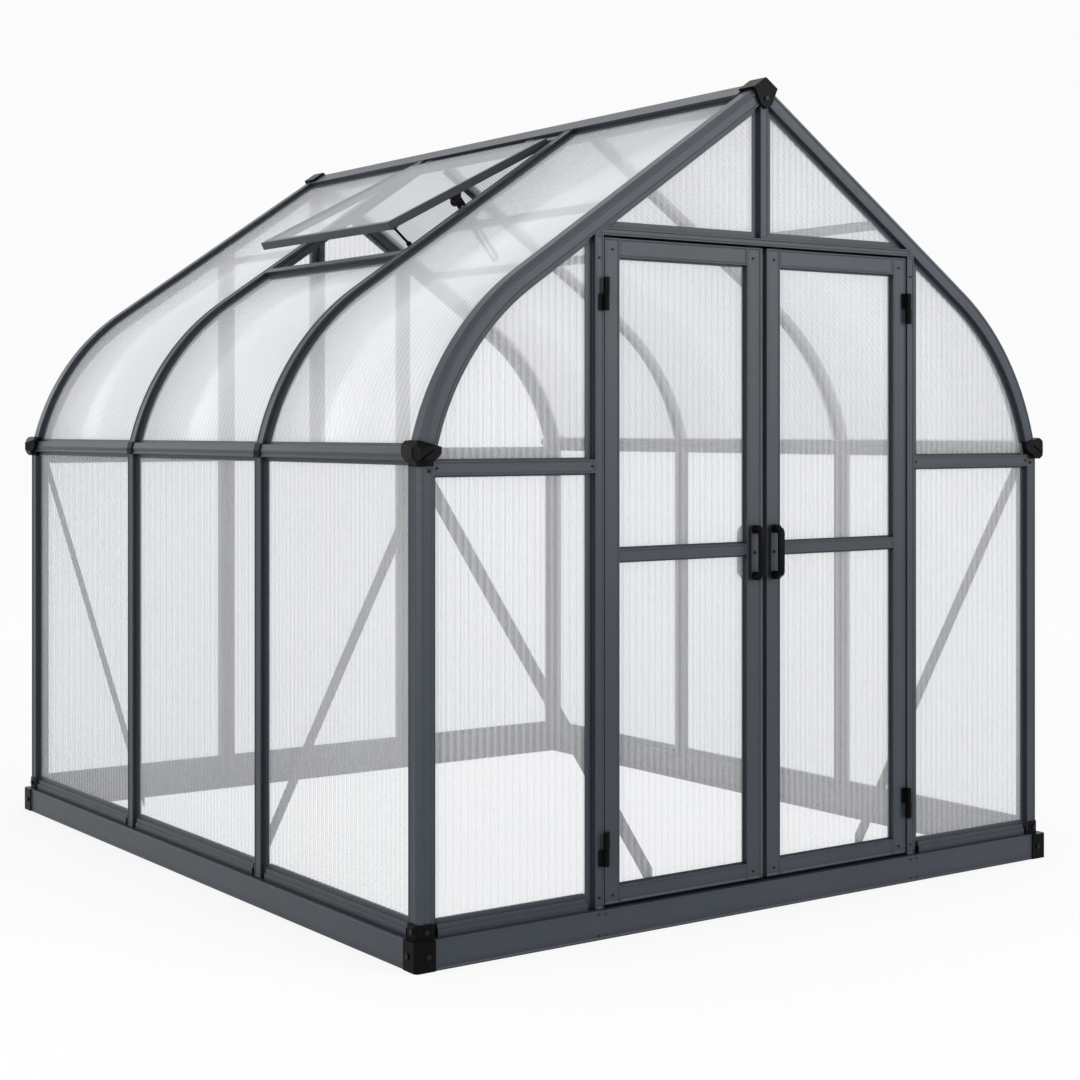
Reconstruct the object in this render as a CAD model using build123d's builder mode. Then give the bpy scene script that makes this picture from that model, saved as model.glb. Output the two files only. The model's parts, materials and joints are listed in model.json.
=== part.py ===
from build123d import *
from math import atan2, cos, degrees, hypot, radians, sin, tan
import os

os.makedirs("parts", exist_ok=True)

# A walk-in greenhouse with a bell-shaped roof. Millimetres, +Z up, doors at -Y,
# origin on the ground under the middle of the base.

# Base frame
base_width = 2300.0          # across the corner blocks
base_length = 2600.0
base_height = 76.0
base_depth = 54.0            # of the rail channel
base_wall = 3.0
corner_leg = 60.0            # corner block, along each rail
corner_skin = 4.0            # block face proud of the rail
corner_chamfer = 8.0
foot_plate = 3.0             # upright plate of the block, against the post
foot_height = 38.0
bolt_radius = 8.0            # over the corners of the hexagon
bolt_head = 4.0

# Wall and roof lines, outer faces of the profiles
wall_setback = 18.0          # wall face behind the corner blocks
side_bays = 3
rear_bays = 3
eave_height = 1270.0
eave_lean = 15.0             # roof line off plumb at the eave, degrees
arch_lead = 40.0             # straight start of the arch above the eave
arch_radius = 760.0
roof_pitch = 34.3            # degrees

# Layers of the glazing profiles, from the outer face inwards
skin = 2.0                   # profile wall
proud = 14.0                 # cap in front of the lips
lip = 2.5                    # lip and keeper thickness
panel_thickness = 6.0
fin = 13.5                   # rib behind the keepers
stem = 3.0
edge_gap = 2.5               # panel edge to the stem or wall behind it

# Profile widths
post_half = 18.0             # half the cap of side posts and roof ribs
post_lip = 20.0              # lip beyond the cap
keeper_reach = 10.0          # keeper beyond the cap
stud_half = 14.0             # rear studs and king posts
rail_half = 18.0             # rails across the gables
rail_lip = 5.0
corner_face = 46.0           # square corner tube
corner_bevel = 11.0
corner_lip = 14.0
eave_half = 18.0
eave_lip = 12.0
ridge_reach = 60.0           # ridge cap down each slope
ridge_lip = 14.0
ridge_drop = 62.0            # web below the ridge line

# Black connectors
eave_block = 32.0            # half height of the eave corner
eave_block_out = 20.0        # proud of the walls
eave_block_bevel = 18.0
eave_block_slant = 9.0       # set-back of its inner ends
eave_block_ridge = 11.0      # half height of the front ridge
wing_reach = 63.0            # of the eave corner, along each wall
wing_bevel = 12.0
facet_slope = 0.7
groove_width = 4.0
groove_depth = 8.0
clip_width = 34.0
clip_reach = 20.0
clip_thickness = 4.0
cap_thickness = 9.0          # ridge cap over the arches
cap_reach = 46.0             # ridge cap down each slope
cap_depth = 62.0             # ridge cap along the ridge
cap_front = 8.0
mitre_gap = 1.0              # between the two halves of an arch
cap_drop = 78.0              # front plate below the ridge line
cap_shoulder = 66.0
cap_foot = 21.0

# Gable members
mid_rail_drop = 37.0         # gable rails below the eave line
door_side = 572.0            # wall face to the door opening
jamb_width = 28.0
jamb_lip = 24.0
stop_reach = 12.0            # door stop into the opening
stop_thickness = 3.5
stop_gap = 3.0
header_tuck = 6.0            # header beyond the opening, under the arch
header_face = 21.0
header_lip = 18.0
sill_ledge = 19.0
sill_step = 34.0             # panel seat above the base
sill_lip = 10.0

# Roof bars and braces
purlin_run = 605.0           # down the slope from the ridge
purlin_width = 30.0
brace_width = 36.0
brace_thickness = 3.0
side_brace_drop = 62.0       # upper ends below the eave line
side_brace_foot = 165.0
front_brace_drop = 55.0
front_brace_foot = 425.0

# Doors
door_gap = 4.0               # to the jamb
door_rise = 8.0              # above the base
door_head_gap = 6.0
door_set = 3.0               # door face behind the wall face
door_depth = 25.0
meeting_gap = 11.0           # door edge to the middle of the opening
stile_width = 50.0
door_lip = 5.0
door_recess = 15.0           # pane front behind the door face
top_rail = 50.0
bottom_rail = 45.0
cross_rail = 32.0
cross_rail_share = 0.523     # height of the cross rail in the door
strip_reach = 17.0           # meeting strip beyond its door's edge
strip_depth = 12.0
door_brace_rise = 240.0
door_brace_run = 155.0
hinge_drop = 154.0           # upper hinges below the header
hinge_rise = 155.0           # lower hinges above the base
hinge_height = 88.0
hinge_radius = 7.0
hinge_pin = 3.0
hinge_stand = 9.0            # pin in front of the wall face
hinge_leaf = 16.0
leaf_thickness = 2.5
pin_clearance = 0.05
barrel_sides = 12
knuckle_gap = 0.5
handle_drop = 10.0           # middle of the handle below that of the cross rail
handle_length = 141.0
handle_reach = 35.0
handle_width = 16.0
handle_grip = 13.0
handle_bevel = 14.0
handle_plate = 3.0
plate_margin = 5.0
handle_offset = 36.0         # from the middle of the opening

# Roof vent
vent_top = 97.0              # header bar, down the slope from the ridge
vent_bar = 24.0              # header and sill bars
vent_sill = 780.0
vent_lip = 14.0
vent_gap = 3.0               # flap to the sill bar
vent_margin = 32.0           # middle of the rib to the flap edge
vent_rail = 24.0
vent_depth = 25.0
vent_lift = 12.0             # flap proud of the roof when shut
vent_pane = 5.0
vent_rebate = 8.0
vent_open = 7.0              # degrees, as it stands at rest
vent_pin_lift = 7.5          # hinge pin above the roof face
vent_pin_gap = 8.0           # pin to the flap edge
vent_pin = 2.5
vent_knuckle = 6.0
vent_hinge_inset = 105.0     # hinge to the side of the flap
fixed_knuckle = 24.0
moving_knuckle = 16.0
stay_run = 390.0             # hinge pin to the stay pivot, along the flap
stay_drop = 41.5             # below the hinge pin
stay_angle = 4.0             # stay pin below the pivot when the flap is shut
stay_length = 205.0
stay_width = 30.0
stay_thickness = 4.0
stay_offset = 44.0           # middle of the rib to the stay
stay_pivot = 4.0
stay_pin = 3.0
slot_clearance = 0.5
lug_thickness = 6.5
lug_radius = 12.0
side_gap = 0.5
knob_radius = 15.0
knob_depth = 18.0
knob_sides = 10
bracket_thickness = 4.0
bracket_half = 15.0
lever_length = 68.0
lever_radius = 4.0
lever_knob = 8.0
lever_bevel = 3.0
lever_tilt = 22.0            # lever towards the ridge, degrees
lever_base = 5.0
lever_sides = 12
lever_inset = 18.0           # lever to the side of the flap

# Derived lines
wall_x = base_width / 2 - wall_setback
wall_y = base_length / 2 - wall_setback
post_y = base_length / side_bays / 2
stud_x = base_width / rear_bays / 2
mid_rail_height = eave_height - mid_rail_drop
door_half = wall_x - door_side
hinge_low = base_height + hinge_rise
vent_edge = post_y - vent_margin
vent_hinge_y = vent_edge - vent_hinge_inset
stay_y = post_y - stay_offset
lever_y = vent_edge - lever_inset
panel_front = proud + lip
panel_back = panel_front + panel_thickness
keeper_back = panel_back + lip
back = keeper_back + fin
corner_reach = corner_face + corner_lip
pane_edge = stem / 2 + edge_gap
corner_pane = corner_face + edge_gap
lean = radians(eave_lean)
pitch = radians(roof_pitch)


def plumb_at(drop, depth):
    """Point of the left wall, below the eave line and behind the wall face."""
    return (-wall_x + depth, eave_height - drop)


def lean_at(rise, depth):
    """Point of the left roof where it leaves the eave."""
    x = -wall_x + rise * sin(lean) + depth * cos(lean)
    return (x, eave_height + rise * cos(lean) - depth * sin(lean))


arc_centre = lean_at(arch_lead, arch_radius)
arc_end = (arc_centre[0] - arch_radius * sin(pitch), arc_centre[1] + arch_radius * cos(pitch))
arc_sweep = 90 - eave_lean - roof_pitch
arc_axis = Axis((arc_centre[0], 0, arc_centre[1]), (0, 1, 0))
ridge_height = arc_end[1] - arc_end[0] * tan(pitch)
rafter_length = -arc_end[0] / cos(pitch)
header_bottom = ridge_height - corner_reach / cos(pitch) - (door_half + header_tuck) * tan(pitch)
hinge_high = header_bottom - hinge_drop


def slope_at(run, depth):
    """Point of the straight left slope, down from the ridge and below the roof face."""
    x = -run * cos(pitch) + depth * sin(pitch)
    return (x, ridge_height - run * sin(pitch) - depth * cos(pitch))


def slope_run(x, depth):
    """Distance from the ridge of the point of the left slope with this x."""
    return (depth * sin(pitch) - x) / cos(pitch)


def lead_plane(rise, y):
    """Section plane across the straight start of the left arch."""
    x, z = lean_at(rise, 0)
    return Plane(origin=(x, y, z), x_dir=(cos(lean), 0, -sin(lean)), z_dir=(sin(lean), 0, cos(lean)))


def rafter_plane(run, y):
    """Section plane across the straight left slope."""
    x, z = slope_at(run, 0)
    return Plane(origin=(x, y, z), x_dir=(sin(pitch), 0, -cos(pitch)), z_dir=(cos(pitch), 0, sin(pitch)))


def upright(x, y, z, inward):
    """Section plane of an upright, with its local x towards the inside."""
    return Plane(origin=(x, y, z), x_dir=inward, z_dir=(0, 0, 1))


def level(x, y, z, inward, along):
    """Section plane of a level rail, with its local x inwards and local y up."""
    return Plane(origin=(x, y, z), x_dir=inward, z_dir=along)


def section(outline, bore=None):
    """Closed outline, with an optional bore."""
    with BuildSketch() as face:
        with BuildLine():
            Polyline(*outline, close=True)
        make_face()
        if bore:
            with BuildLine():
                Polyline(*bore, close=True)
            make_face(mode=Mode.SUBTRACT)
    return face.sketch


def member(profile, plane, length):
    """Straight length of a profile."""
    with BuildPart() as piece:
        with BuildSketch(plane):
            add(profile)
        extrude(amount=length)
    return piece.part


def arch(profile, y, start, top):
    """Profile bent along the left roof line, from start above the eave to top below the ridge."""
    with BuildPart() as piece:
        with BuildSketch(lead_plane(start, y)):
            add(profile)
        extrude(amount=arch_lead - start)
        with BuildSketch(lead_plane(arch_lead, y)):
            add(profile)
        revolve(axis=arc_axis, revolution_arc=arc_sweep)
        with BuildSketch(rafter_plane(rafter_length, y)):
            add(profile)
        extrude(amount=rafter_length - top)
    return piece.part


def slab(outline, plane, thickness):
    """Flat piece cut to an outline."""
    return member(section(outline), plane, thickness)


def tee_outline(half, reach, keeper):
    """Glazing bar: a cap with two lips, a stem, two keepers and a fin, as (depth, across)."""
    side = [
        (0, half),
        (proud, half),
        (proud, half + reach),
        (panel_front, half + reach),
        (panel_front, half - skin),
        (skin, half - skin),
        (skin, stem / 2),
        (panel_back, stem / 2),
        (panel_back, half + keeper),
        (keeper_back, half + keeper),
        (keeper_back, stem / 2),
        (back, stem / 2),
    ]
    return side + [(depth, -across) for depth, across in reversed(side)]


def rib_outline(half, reach):
    """Roof rib: a closed cap with two lips and a fin, as (depth, across)."""
    side = [
        (0, half),
        (proud, half),
        (proud, half + reach),
        (panel_front, half + reach),
        (panel_front, stem / 2),
        (back, stem / 2),
    ]
    return side + [(depth, -across) for depth, across in reversed(side)]


def nose_outline(half):
    """The cap alone, where a bar runs on over the lip of the next one."""
    side = [(0, half), (proud, half), (proud, half - skin), (skin, half - skin)]
    return side + [(depth, -across) for depth, across in reversed(side)]


def strip(y0, y1):
    """Section of a roof panel between two places along the ridge."""
    return section([(panel_front, y0), (panel_back, y0), (panel_back, y1), (panel_front, y1)])


post_tee = section(tee_outline(post_half, post_lip, keeper_reach))
post_nose = section(nose_outline(post_half))
rib_tee = section(rib_outline(post_half, post_lip))
rib_nose = section([(0, post_half), (proud, post_half), (proud, -post_half), (0, -post_half)])
stud_tee = section(tee_outline(stud_half, post_lip, keeper_reach))
stud_nose = section(nose_outline(stud_half))
rail_tee = section(tee_outline(rail_half, rail_lip, rail_lip - edge_gap))
rail_nose = section(nose_outline(rail_half))
corner_outline = [
    (corner_bevel, 0),
    (corner_face, 0),
    (corner_face, proud),
    (corner_reach, proud),
    (corner_reach, panel_front),
    (corner_face, panel_front),
    (corner_face, corner_face),
    (panel_front, corner_face),
    (panel_front, corner_reach),
    (proud, corner_reach),
    (proud, corner_face),
    (0, corner_face),
    (0, corner_bevel),
]
inner_bevel = corner_bevel + skin * tan(radians(22.5))
corner_bore = [
    (inner_bevel, skin),
    (corner_face - skin, skin),
    (corner_face - skin, corner_face - skin),
    (skin, corner_face - skin),
    (skin, inner_bevel),
]
corner_tube = section(corner_outline, corner_bore)
arch_bar = section(corner_outline)
inward_left = (1, 0, 0)
inward_front = (0, 1, 0)
inward_rear = (0, -1, 0)


def save(piece, label):
    """Name a finished sub-part and write it."""
    piece.part.label = label
    export_step(piece.part, f"parts/{label}.step")


# Base rails, channels open to the inside
def channel(outer):
    """Channel outline, as (distance towards the outside, height)."""
    inner = outer - base_depth
    return [
        (outer, 0),
        (outer, base_height),
        (inner, base_height),
        (inner, base_height - base_wall),
        (outer - base_wall, base_height - base_wall),
        (outer - base_wall, base_wall),
        (inner, base_wall),
        (inner, 0),
    ]


rail_x = base_width / 2 - corner_skin
rail_y = base_length / 2 - corner_skin
with BuildPart() as base_rails_side:
    with BuildSketch(Plane.XZ):
        add(section(channel(rail_x)))
    extrude(amount=base_length / 2 - corner_leg, both=True)
    mirror(about=Plane.YZ)
save(base_rails_side, "base_rails_side")

with BuildPart() as base_rails_end:
    with BuildSketch(Plane.YZ):
        add(section(channel(rail_y)))
    extrude(amount=base_width / 2 - corner_leg, both=True)
    mirror(about=Plane.XZ)
save(base_rails_end, "base_rails_end")

# Base corner blocks: a hollow block with an upright plate against the post
block_x = -base_width / 2
block_y = -base_length / 2
pocket = corner_leg - 2 * corner_skin
pocket_x = block_x + corner_skin
pocket_y = block_y + corner_skin
plate_bevel = corner_bevel - foot_plate * tan(radians(22.5))
with BuildPart() as base_corners:
    with BuildSketch(Plane.XY):
        with BuildLine():
            Polyline(
                (block_x + corner_chamfer, block_y),
                (block_x + corner_leg, block_y),
                (block_x + corner_leg, block_y + corner_leg),
                (block_x, block_y + corner_leg),
                (block_x, block_y + corner_chamfer),
                close=True,
            )
        make_face()
    extrude(amount=base_height)
    with BuildSketch(Plane.XY):
        with BuildLine():
            Polyline(
                (pocket_x + corner_chamfer, pocket_y),
                (pocket_x + pocket, pocket_y),
                (pocket_x + pocket, pocket_y + pocket),
                (pocket_x, pocket_y + pocket),
                (pocket_x, pocket_y + corner_chamfer),
                close=True,
            )
        make_face()
    extrude(amount=base_height - corner_skin, mode=Mode.SUBTRACT)
    with BuildSketch(Plane.XY.offset(base_height)):
        with BuildLine():
            Polyline(
                (-wall_x, -wall_y + corner_face),
                (-wall_x, -wall_y + corner_bevel),
                (-wall_x + corner_bevel, -wall_y),
                (-wall_x + corner_face, -wall_y),
                (-wall_x + corner_face, -wall_y - foot_plate),
                (-wall_x + plate_bevel, -wall_y - foot_plate),
                (-wall_x - foot_plate, -wall_y + plate_bevel),
                (-wall_x - foot_plate, -wall_y + corner_face),
                close=True,
            )
        make_face()
    extrude(amount=foot_height)
    mirror(about=Plane.YZ)
    mirror(about=Plane.XZ)
save(base_corners, "base_corners")

# Hexagon bolts: one low and one high on each face of the blocks, and one on each ridge cap
low_bolt = (corner_leg * 0.62, base_height / 2)
high_bolt = (wall_setback + corner_face / 2, base_height + foot_height / 2)
plate_face = wall_setback - foot_plate
ridge_bolt = (0, ridge_height - cap_drop * 0.62)
with BuildPart() as frame_bolts:
    for (across, height), face in ((low_bolt, 0), (high_bolt, plate_face)):
        with BuildSketch(Plane.XZ.offset(-block_y - face)):
            with Locations((block_x + across, height)):
                RegularPolygon(radius=bolt_radius, side_count=6)
        extrude(amount=bolt_head)
        with BuildSketch(Plane.YZ.offset(block_x + face)):
            with Locations((block_y + across, height)):
                RegularPolygon(radius=bolt_radius, side_count=6)
        extrude(amount=-bolt_head)
    mirror(about=Plane.YZ)
    with BuildSketch(Plane.XZ.offset(wall_y + cap_front)):
        with Locations(ridge_bolt):
            RegularPolygon(radius=bolt_radius, side_count=6)
    extrude(amount=bolt_head)
    mirror(about=Plane.XZ)
save(frame_bolts, "frame_bolts")

# Sills that seat the panels between the uprights
sill_profile = section(
    [
        (skin, 0),
        (back, 0),
        (back, sill_step - sill_lip),
        (keeper_back, sill_step - sill_lip),
        (keeper_back, sill_step + sill_lip),
        (panel_back, sill_step + sill_lip),
        (panel_back, sill_step),
        (panel_front, sill_step),
        (panel_front, sill_step + sill_lip),
        (proud, sill_step + sill_lip),
        (proud, sill_step),
        (proud / 2, sill_step - skin),
        (proud / 2, sill_ledge + skin),
        (skin, sill_ledge),
    ],
    [
        (proud / 2 + skin, skin),
        (back - skin, skin),
        (back - skin, sill_step - sill_lip - skin),
        (proud / 2 + skin, sill_step - sill_lip - skin),
    ],
)
post_reach = post_half + post_lip
stud_reach = stud_half + post_lip
jamb_face = door_half + jamb_width
jamb_reach = jamb_face + jamb_lip
side_sill_spans = (
    (-wall_y + corner_reach, -post_y - post_reach),
    (-post_y + post_reach, post_y - post_reach),
    (post_y + post_reach, wall_y - corner_reach),
)
with BuildPart() as wall_sills:
    for y0, y1 in side_sill_spans:
        add(member(sill_profile, level(-wall_x, y1, base_height, inward_left, (0, -1, 0)), y1 - y0))
    x0 = -wall_x + corner_reach
    add(member(sill_profile, level(x0, -wall_y, base_height, inward_front, (1, 0, 0)), -jamb_reach - x0))
    x1 = -stud_x - stud_reach
    add(member(sill_profile, level(x1, wall_y, base_height, inward_rear, (-1, 0, 0)), x1 - x0))
    mirror(about=Plane.YZ)
    x1 = stud_x - stud_reach
    add(member(sill_profile, level(x1, wall_y, base_height, inward_rear, (-1, 0, 0)), 2 * x1))
save(wall_sills, "wall_sills")

# Corner posts, from the base blocks to the eave blocks
post_top = eave_height - eave_block
corner_plane = upright(-wall_x, -wall_y, base_height, inward_left)
with BuildPart() as corner_posts:
    add(member(corner_tube, corner_plane, post_top - base_height))
    mirror(about=Plane.YZ)
    mirror(about=Plane.XZ)
save(corner_posts, "corner_posts")

# Side posts, whose caps run up to the cap of the eave rail
eave_reach = eave_half + eave_lip
with BuildPart() as side_posts:
    for y in (-post_y, post_y):
        foot = upright(-wall_x, y, base_height, inward_left)
        add(member(post_tee, foot, eave_height - eave_reach - base_height))
        add(member(post_nose, foot, eave_height - eave_half - base_height))
    mirror(about=Plane.YZ)
save(side_posts, "side_posts")

# Eave rails, whose upper half leans with the roof
half_lean = tan(lean / 2)


def under_stem(depth):
    return plumb_at(depth * half_lean + stem / 2, depth)


def over_stem(depth):
    return lean_at(depth * half_lean + stem / 2, depth)


eave_keeper = eave_reach - edge_gap
with BuildPart() as eave_rail_left:
    with BuildSketch(Plane.XZ):
        with BuildLine():
            Polyline(
                plumb_at(eave_half, 0),
                plumb_at(0, 0),
                lean_at(eave_half, 0),
                lean_at(eave_half, proud),
                lean_at(eave_reach, proud),
                lean_at(eave_reach, panel_front),
                lean_at(eave_half - skin, panel_front),
                lean_at(eave_half - skin, skin),
                over_stem(skin),
                over_stem(panel_back),
                lean_at(eave_keeper, panel_back),
                lean_at(eave_keeper, keeper_back),
                over_stem(keeper_back),
                over_stem(back),
                under_stem(back),
                under_stem(keeper_back),
                plumb_at(eave_keeper, keeper_back),
                plumb_at(eave_keeper, panel_back),
                under_stem(panel_back),
                under_stem(skin),
                plumb_at(eave_half - skin, skin),
                plumb_at(eave_half - skin, panel_front),
                plumb_at(eave_reach, panel_front),
                plumb_at(eave_reach, proud),
                plumb_at(eave_half, proud),
                close=True,
            )
        make_face()
    extrude(amount=wall_y - corner_face, both=True)
save(eave_rail_left, "eave_rail_left")

with BuildPart() as eave_rail_right:
    add(mirror(eave_rail_left.part, about=Plane.YZ, mode=Mode.PRIVATE))
save(eave_rail_right, "eave_rail_right")

# Eave corner blocks: a core between post and arch, and two faceted wings outside the walls
block_out = -eave_block_out
block_front = -wall_y - eave_block_out
block_left = -wall_x - eave_block_out
wing_foot = block_out + wing_bevel * 2 / 3
wing_outline = [
    (block_out, wing_bevel - eave_block),
    (wing_foot, -eave_block),
    (wing_bevel, -eave_block),
    (wing_reach - wing_bevel, -wing_bevel),
    (wing_reach, 0),
    (wing_reach, eave_block - wing_bevel),
    (wing_reach - wing_bevel, eave_block),
    (wing_foot, eave_block),
    (block_out, eave_block - wing_bevel),
]
front_face = Plane.XZ.offset(wall_y)
corner_mirror = Plane(origin=(-wall_x, -wall_y, 0), z_dir=(1, -1, 0))
bevel_face = Plane(
    origin=(block_left + eave_block_bevel / 2, block_front + eave_block_bevel / 2, eave_height),
    x_dir=(1, -1, 0),
    z_dir=(-1, -1, 0),
)
recess = [
    (-wing_bevel, wing_bevel * 1.6),
    (wing_bevel * 0.7, -wing_bevel * 1.8),
    (-wing_bevel * 0.6, -wing_bevel),
]
groove = [
    (0, -wing_bevel * 1.4),
    (wing_reach * 0.6, wing_bevel * 0.6),
    (wing_reach * 0.6, wing_bevel * 0.6 + groove_width),
    (0, groove_width - wing_bevel * 1.4),
]


def from_eave(outline):
    """Outline given from the corner of the walls at the eave line."""
    return [(x - wall_x, eave_height + z) for x, z in outline]


with BuildPart() as eave_corners:
    add(slab(from_eave(wing_outline), front_face, eave_block_out))
    mirror(about=corner_mirror)
    split(bisect_by=bevel_face, keep=Keep.BOTTOM)
    slant_side = (block_left + eave_block_bevel, block_front, 0)
    split(bisect_by=Plane(origin=slant_side, z_dir=(eave_block_slant, -wing_reach, 0)), keep=Keep.BOTTOM)
    slant_side = (block_left, block_front + eave_block_bevel, 0)
    split(bisect_by=Plane(origin=slant_side, z_dir=(-wing_reach, eave_block_slant, 0)), keep=Keep.BOTTOM)
    for rise in (-1, 1):
        ridge_line = eave_height + rise * eave_block_ridge
        front_facet = Plane(origin=(block_left, block_front, ridge_line), z_dir=(0, -1, rise * facet_slope))
        split(bisect_by=front_facet, keep=Keep.BOTTOM)
        left_facet = Plane(origin=(block_left, block_front, ridge_line), z_dir=(-1, 0, rise * facet_slope))
        split(bisect_by=left_facet, keep=Keep.BOTTOM)
    add(slab(recess, bevel_face, -groove_depth / 2), mode=Mode.SUBTRACT)
    groove_face = Plane.XZ.offset(wall_y + eave_block_out)
    add(slab(from_eave(groove), groove_face, -groove_depth), mode=Mode.SUBTRACT)
    with BuildSketch(upright(-wall_x, -wall_y, eave_height - eave_block, inward_left)):
        Rectangle(corner_face, corner_face, align=(Align.MIN, Align.MIN))
    extrude(amount=3 * eave_block)
    split(bisect_by=lead_plane(eave_block, 0), keep=Keep.BOTTOM)
    mirror(about=Plane.YZ)
    mirror(about=Plane.XZ)
save(eave_corners, "eave_corners")

# Black clips over the eave rail at each side post
with BuildPart() as eave_clips:
    for y in (-post_y, post_y):
        with BuildSketch(Plane.XZ.offset(-y)):
            with BuildLine():
                Polyline(
                    plumb_at(clip_reach, 0),
                    plumb_at(0, 0),
                    lean_at(clip_reach, 0),
                    lean_at(clip_reach, -clip_thickness),
                    plumb_at(-clip_thickness * half_lean, -clip_thickness),
                    plumb_at(clip_reach, -clip_thickness),
                    close=True,
                )
            make_face()
        extrude(amount=clip_width / 2, both=True)
    mirror(about=Plane.YZ)
save(eave_clips, "eave_clips")

# Gable arches, each a pair of bent bars meeting under the ridge cap
with BuildPart() as gable_arch_front:
    add(arch(arch_bar, -wall_y, eave_block, 0))
    split(bisect_by=Plane.YZ.offset(-mitre_gap), keep=Keep.BOTTOM)
    mirror(about=Plane.YZ)
save(gable_arch_front, "gable_arch_front")

with BuildPart() as gable_arch_rear:
    add(mirror(gable_arch_front.part, about=Plane.XZ, mode=Mode.PRIVATE))
save(gable_arch_rear, "gable_arch_rear")

# Roof ribs, from the eave rail to the ridge beam
ridge_edge = ridge_reach + ridge_lip
with BuildPart() as roof_ribs_left:
    for y in (-post_y, post_y):
        add(arch(rib_tee, y, eave_reach, ridge_edge))
        add(member(rib_nose, lead_plane(eave_half, y), eave_lip))
        add(member(rib_nose, rafter_plane(ridge_edge, y), ridge_lip))
save(roof_ribs_left, "roof_ribs_left")

with BuildPart() as roof_ribs_right:
    add(mirror(roof_ribs_left.part, about=Plane.YZ, mode=Mode.PRIVATE))
save(roof_ribs_right, "roof_ribs_right")


# Ridge beam, a folded cap over a middle web
def web_at(depth):
    return slope_at(slope_run(-stem / 2, depth), depth)


ridge_half = [
    slope_at(ridge_reach, 0),
    slope_at(ridge_reach, proud),
    slope_at(ridge_edge, proud),
    slope_at(ridge_edge, panel_front),
    slope_at(ridge_reach - skin, panel_front),
    slope_at(ridge_reach - skin, skin),
    web_at(skin),
    web_at(panel_back),
    slope_at(ridge_edge - edge_gap, panel_back),
    slope_at(ridge_edge - edge_gap, keeper_back),
    web_at(keeper_back),
    (-stem / 2, ridge_height - ridge_drop),
]
with BuildPart() as ridge_beam:
    with BuildSketch(Plane.XZ):
        with BuildLine():
            Polyline((0, ridge_height), *ridge_half, *[(-x, z) for x, z in reversed(ridge_half)], close=True)
        make_face()
    extrude(amount=wall_y - corner_reach, both=True)
save(ridge_beam, "ridge_beam")

# Ridge caps, a hood over the arches with a shield-shaped plate in front
cap_top = (0, ridge_height + cap_thickness / cos(pitch))
cap_edge = slope_at(cap_reach, -cap_thickness)
cap_under = slope_at(cap_reach, 0)
with BuildPart() as ridge_caps:
    with BuildSketch(Plane.XZ.offset(wall_y)):
        with BuildLine():
            Polyline(
                cap_top,
                cap_edge,
                cap_under,
                (0, ridge_height),
                (-cap_under[0], cap_under[1]),
                (-cap_edge[0], cap_edge[1]),
                close=True,
            )
        make_face()
    extrude(amount=-cap_depth)
    with BuildSketch(Plane.XZ.offset(wall_y)):
        with BuildLine():
            Polyline(
                cap_top,
                cap_edge,
                (-cap_foot, ridge_height - cap_shoulder),
                (0, ridge_height - cap_drop),
                (cap_foot, ridge_height - cap_shoulder),
                (-cap_edge[0], cap_edge[1]),
                close=True,
            )
        make_face()
    extrude(amount=cap_front)
    mirror(about=Plane.XZ)
save(ridge_caps, "ridge_caps")


# Door jambs, square tubes with a stop behind the doors
def slope_plane(side, depth):
    """Plane along one slope, facing out, at a depth under the roof face."""
    top = ridge_height - depth / cos(pitch)
    return Plane(origin=(0, 0, top), z_dir=(side * sin(pitch), 0, cos(pitch)))


def under_roof(piece, depth):
    """Piece cut off along both slopes."""
    with BuildPart() as cut:
        add(piece)
        split(bisect_by=slope_plane(-1, depth), keep=Keep.BOTTOM)
        split(bisect_by=slope_plane(1, depth), keep=Keep.BOTTOM)
    return cut.part


stop_front = door_set + door_depth + stop_gap
jamb_tube = section(
    [
        (0, 0),
        (0, jamb_width),
        (proud, jamb_width),
        (proud, jamb_width + jamb_lip),
        (panel_front, jamb_width + jamb_lip),
        (panel_front, jamb_width),
        (panel_back, jamb_width),
        (panel_back, jamb_width + keeper_reach),
        (keeper_back, jamb_width + keeper_reach),
        (keeper_back, jamb_width),
        (back, jamb_width),
        (back, 0),
        (stop_front + stop_thickness, 0),
        (stop_front + stop_thickness, -stop_reach),
        (stop_front, -stop_reach),
        (stop_front, 0),
    ],
    [(skin, skin), (skin, jamb_width - skin), (back - skin, jamb_width - skin), (back - skin, skin)],
)
jamb_nose = section([(0, 0), (0, jamb_width), (proud, jamb_width), (proud, 0)])
jamb_plane = upright(-door_half, -wall_y, base_height, inward_front)
with BuildPart() as door_jambs:
    add(under_roof(member(jamb_tube, jamb_plane, header_bottom - base_height), corner_reach))
    jamb_tip = upright(-door_half, -wall_y, header_bottom - jamb_lip, inward_front)
    add(under_roof(member(jamb_nose, jamb_tip, jamb_lip), corner_face))
    mirror(about=Plane.YZ)
save(door_jambs, "door_jambs")

# Door header, between the arches, with a stop behind the doors
header_top = header_bottom + header_face
header_reach = header_face + header_lip
header_tube = section(
    [
        (0, 0),
        (back, 0),
        (back, header_face),
        (keeper_back, header_face),
        (keeper_back, header_face + keeper_reach),
        (panel_back, header_face + keeper_reach),
        (panel_back, header_face),
        (panel_front, header_face),
        (panel_front, header_reach),
        (proud, header_reach),
        (proud, header_face),
        (0, header_face),
    ],
    [(skin, skin), (back - skin, skin), (back - skin, header_face - skin), (skin, header_face - skin)],
)
header_nose = section([(0, 0), (proud, 0), (proud, header_face), (0, header_face)])
header_end = jamb_reach + jamb_width
header_plane = level(-header_end, -wall_y, header_bottom, inward_front, (1, 0, 0))
header_core = section([(0, 0), (back, 0), (back, header_face), (0, header_face)])
stop_back = stop_front + stop_thickness
head_stop = section([(stop_front, -stop_reach), (stop_back, -stop_reach), (stop_back, 0), (stop_front, 0)])
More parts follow.
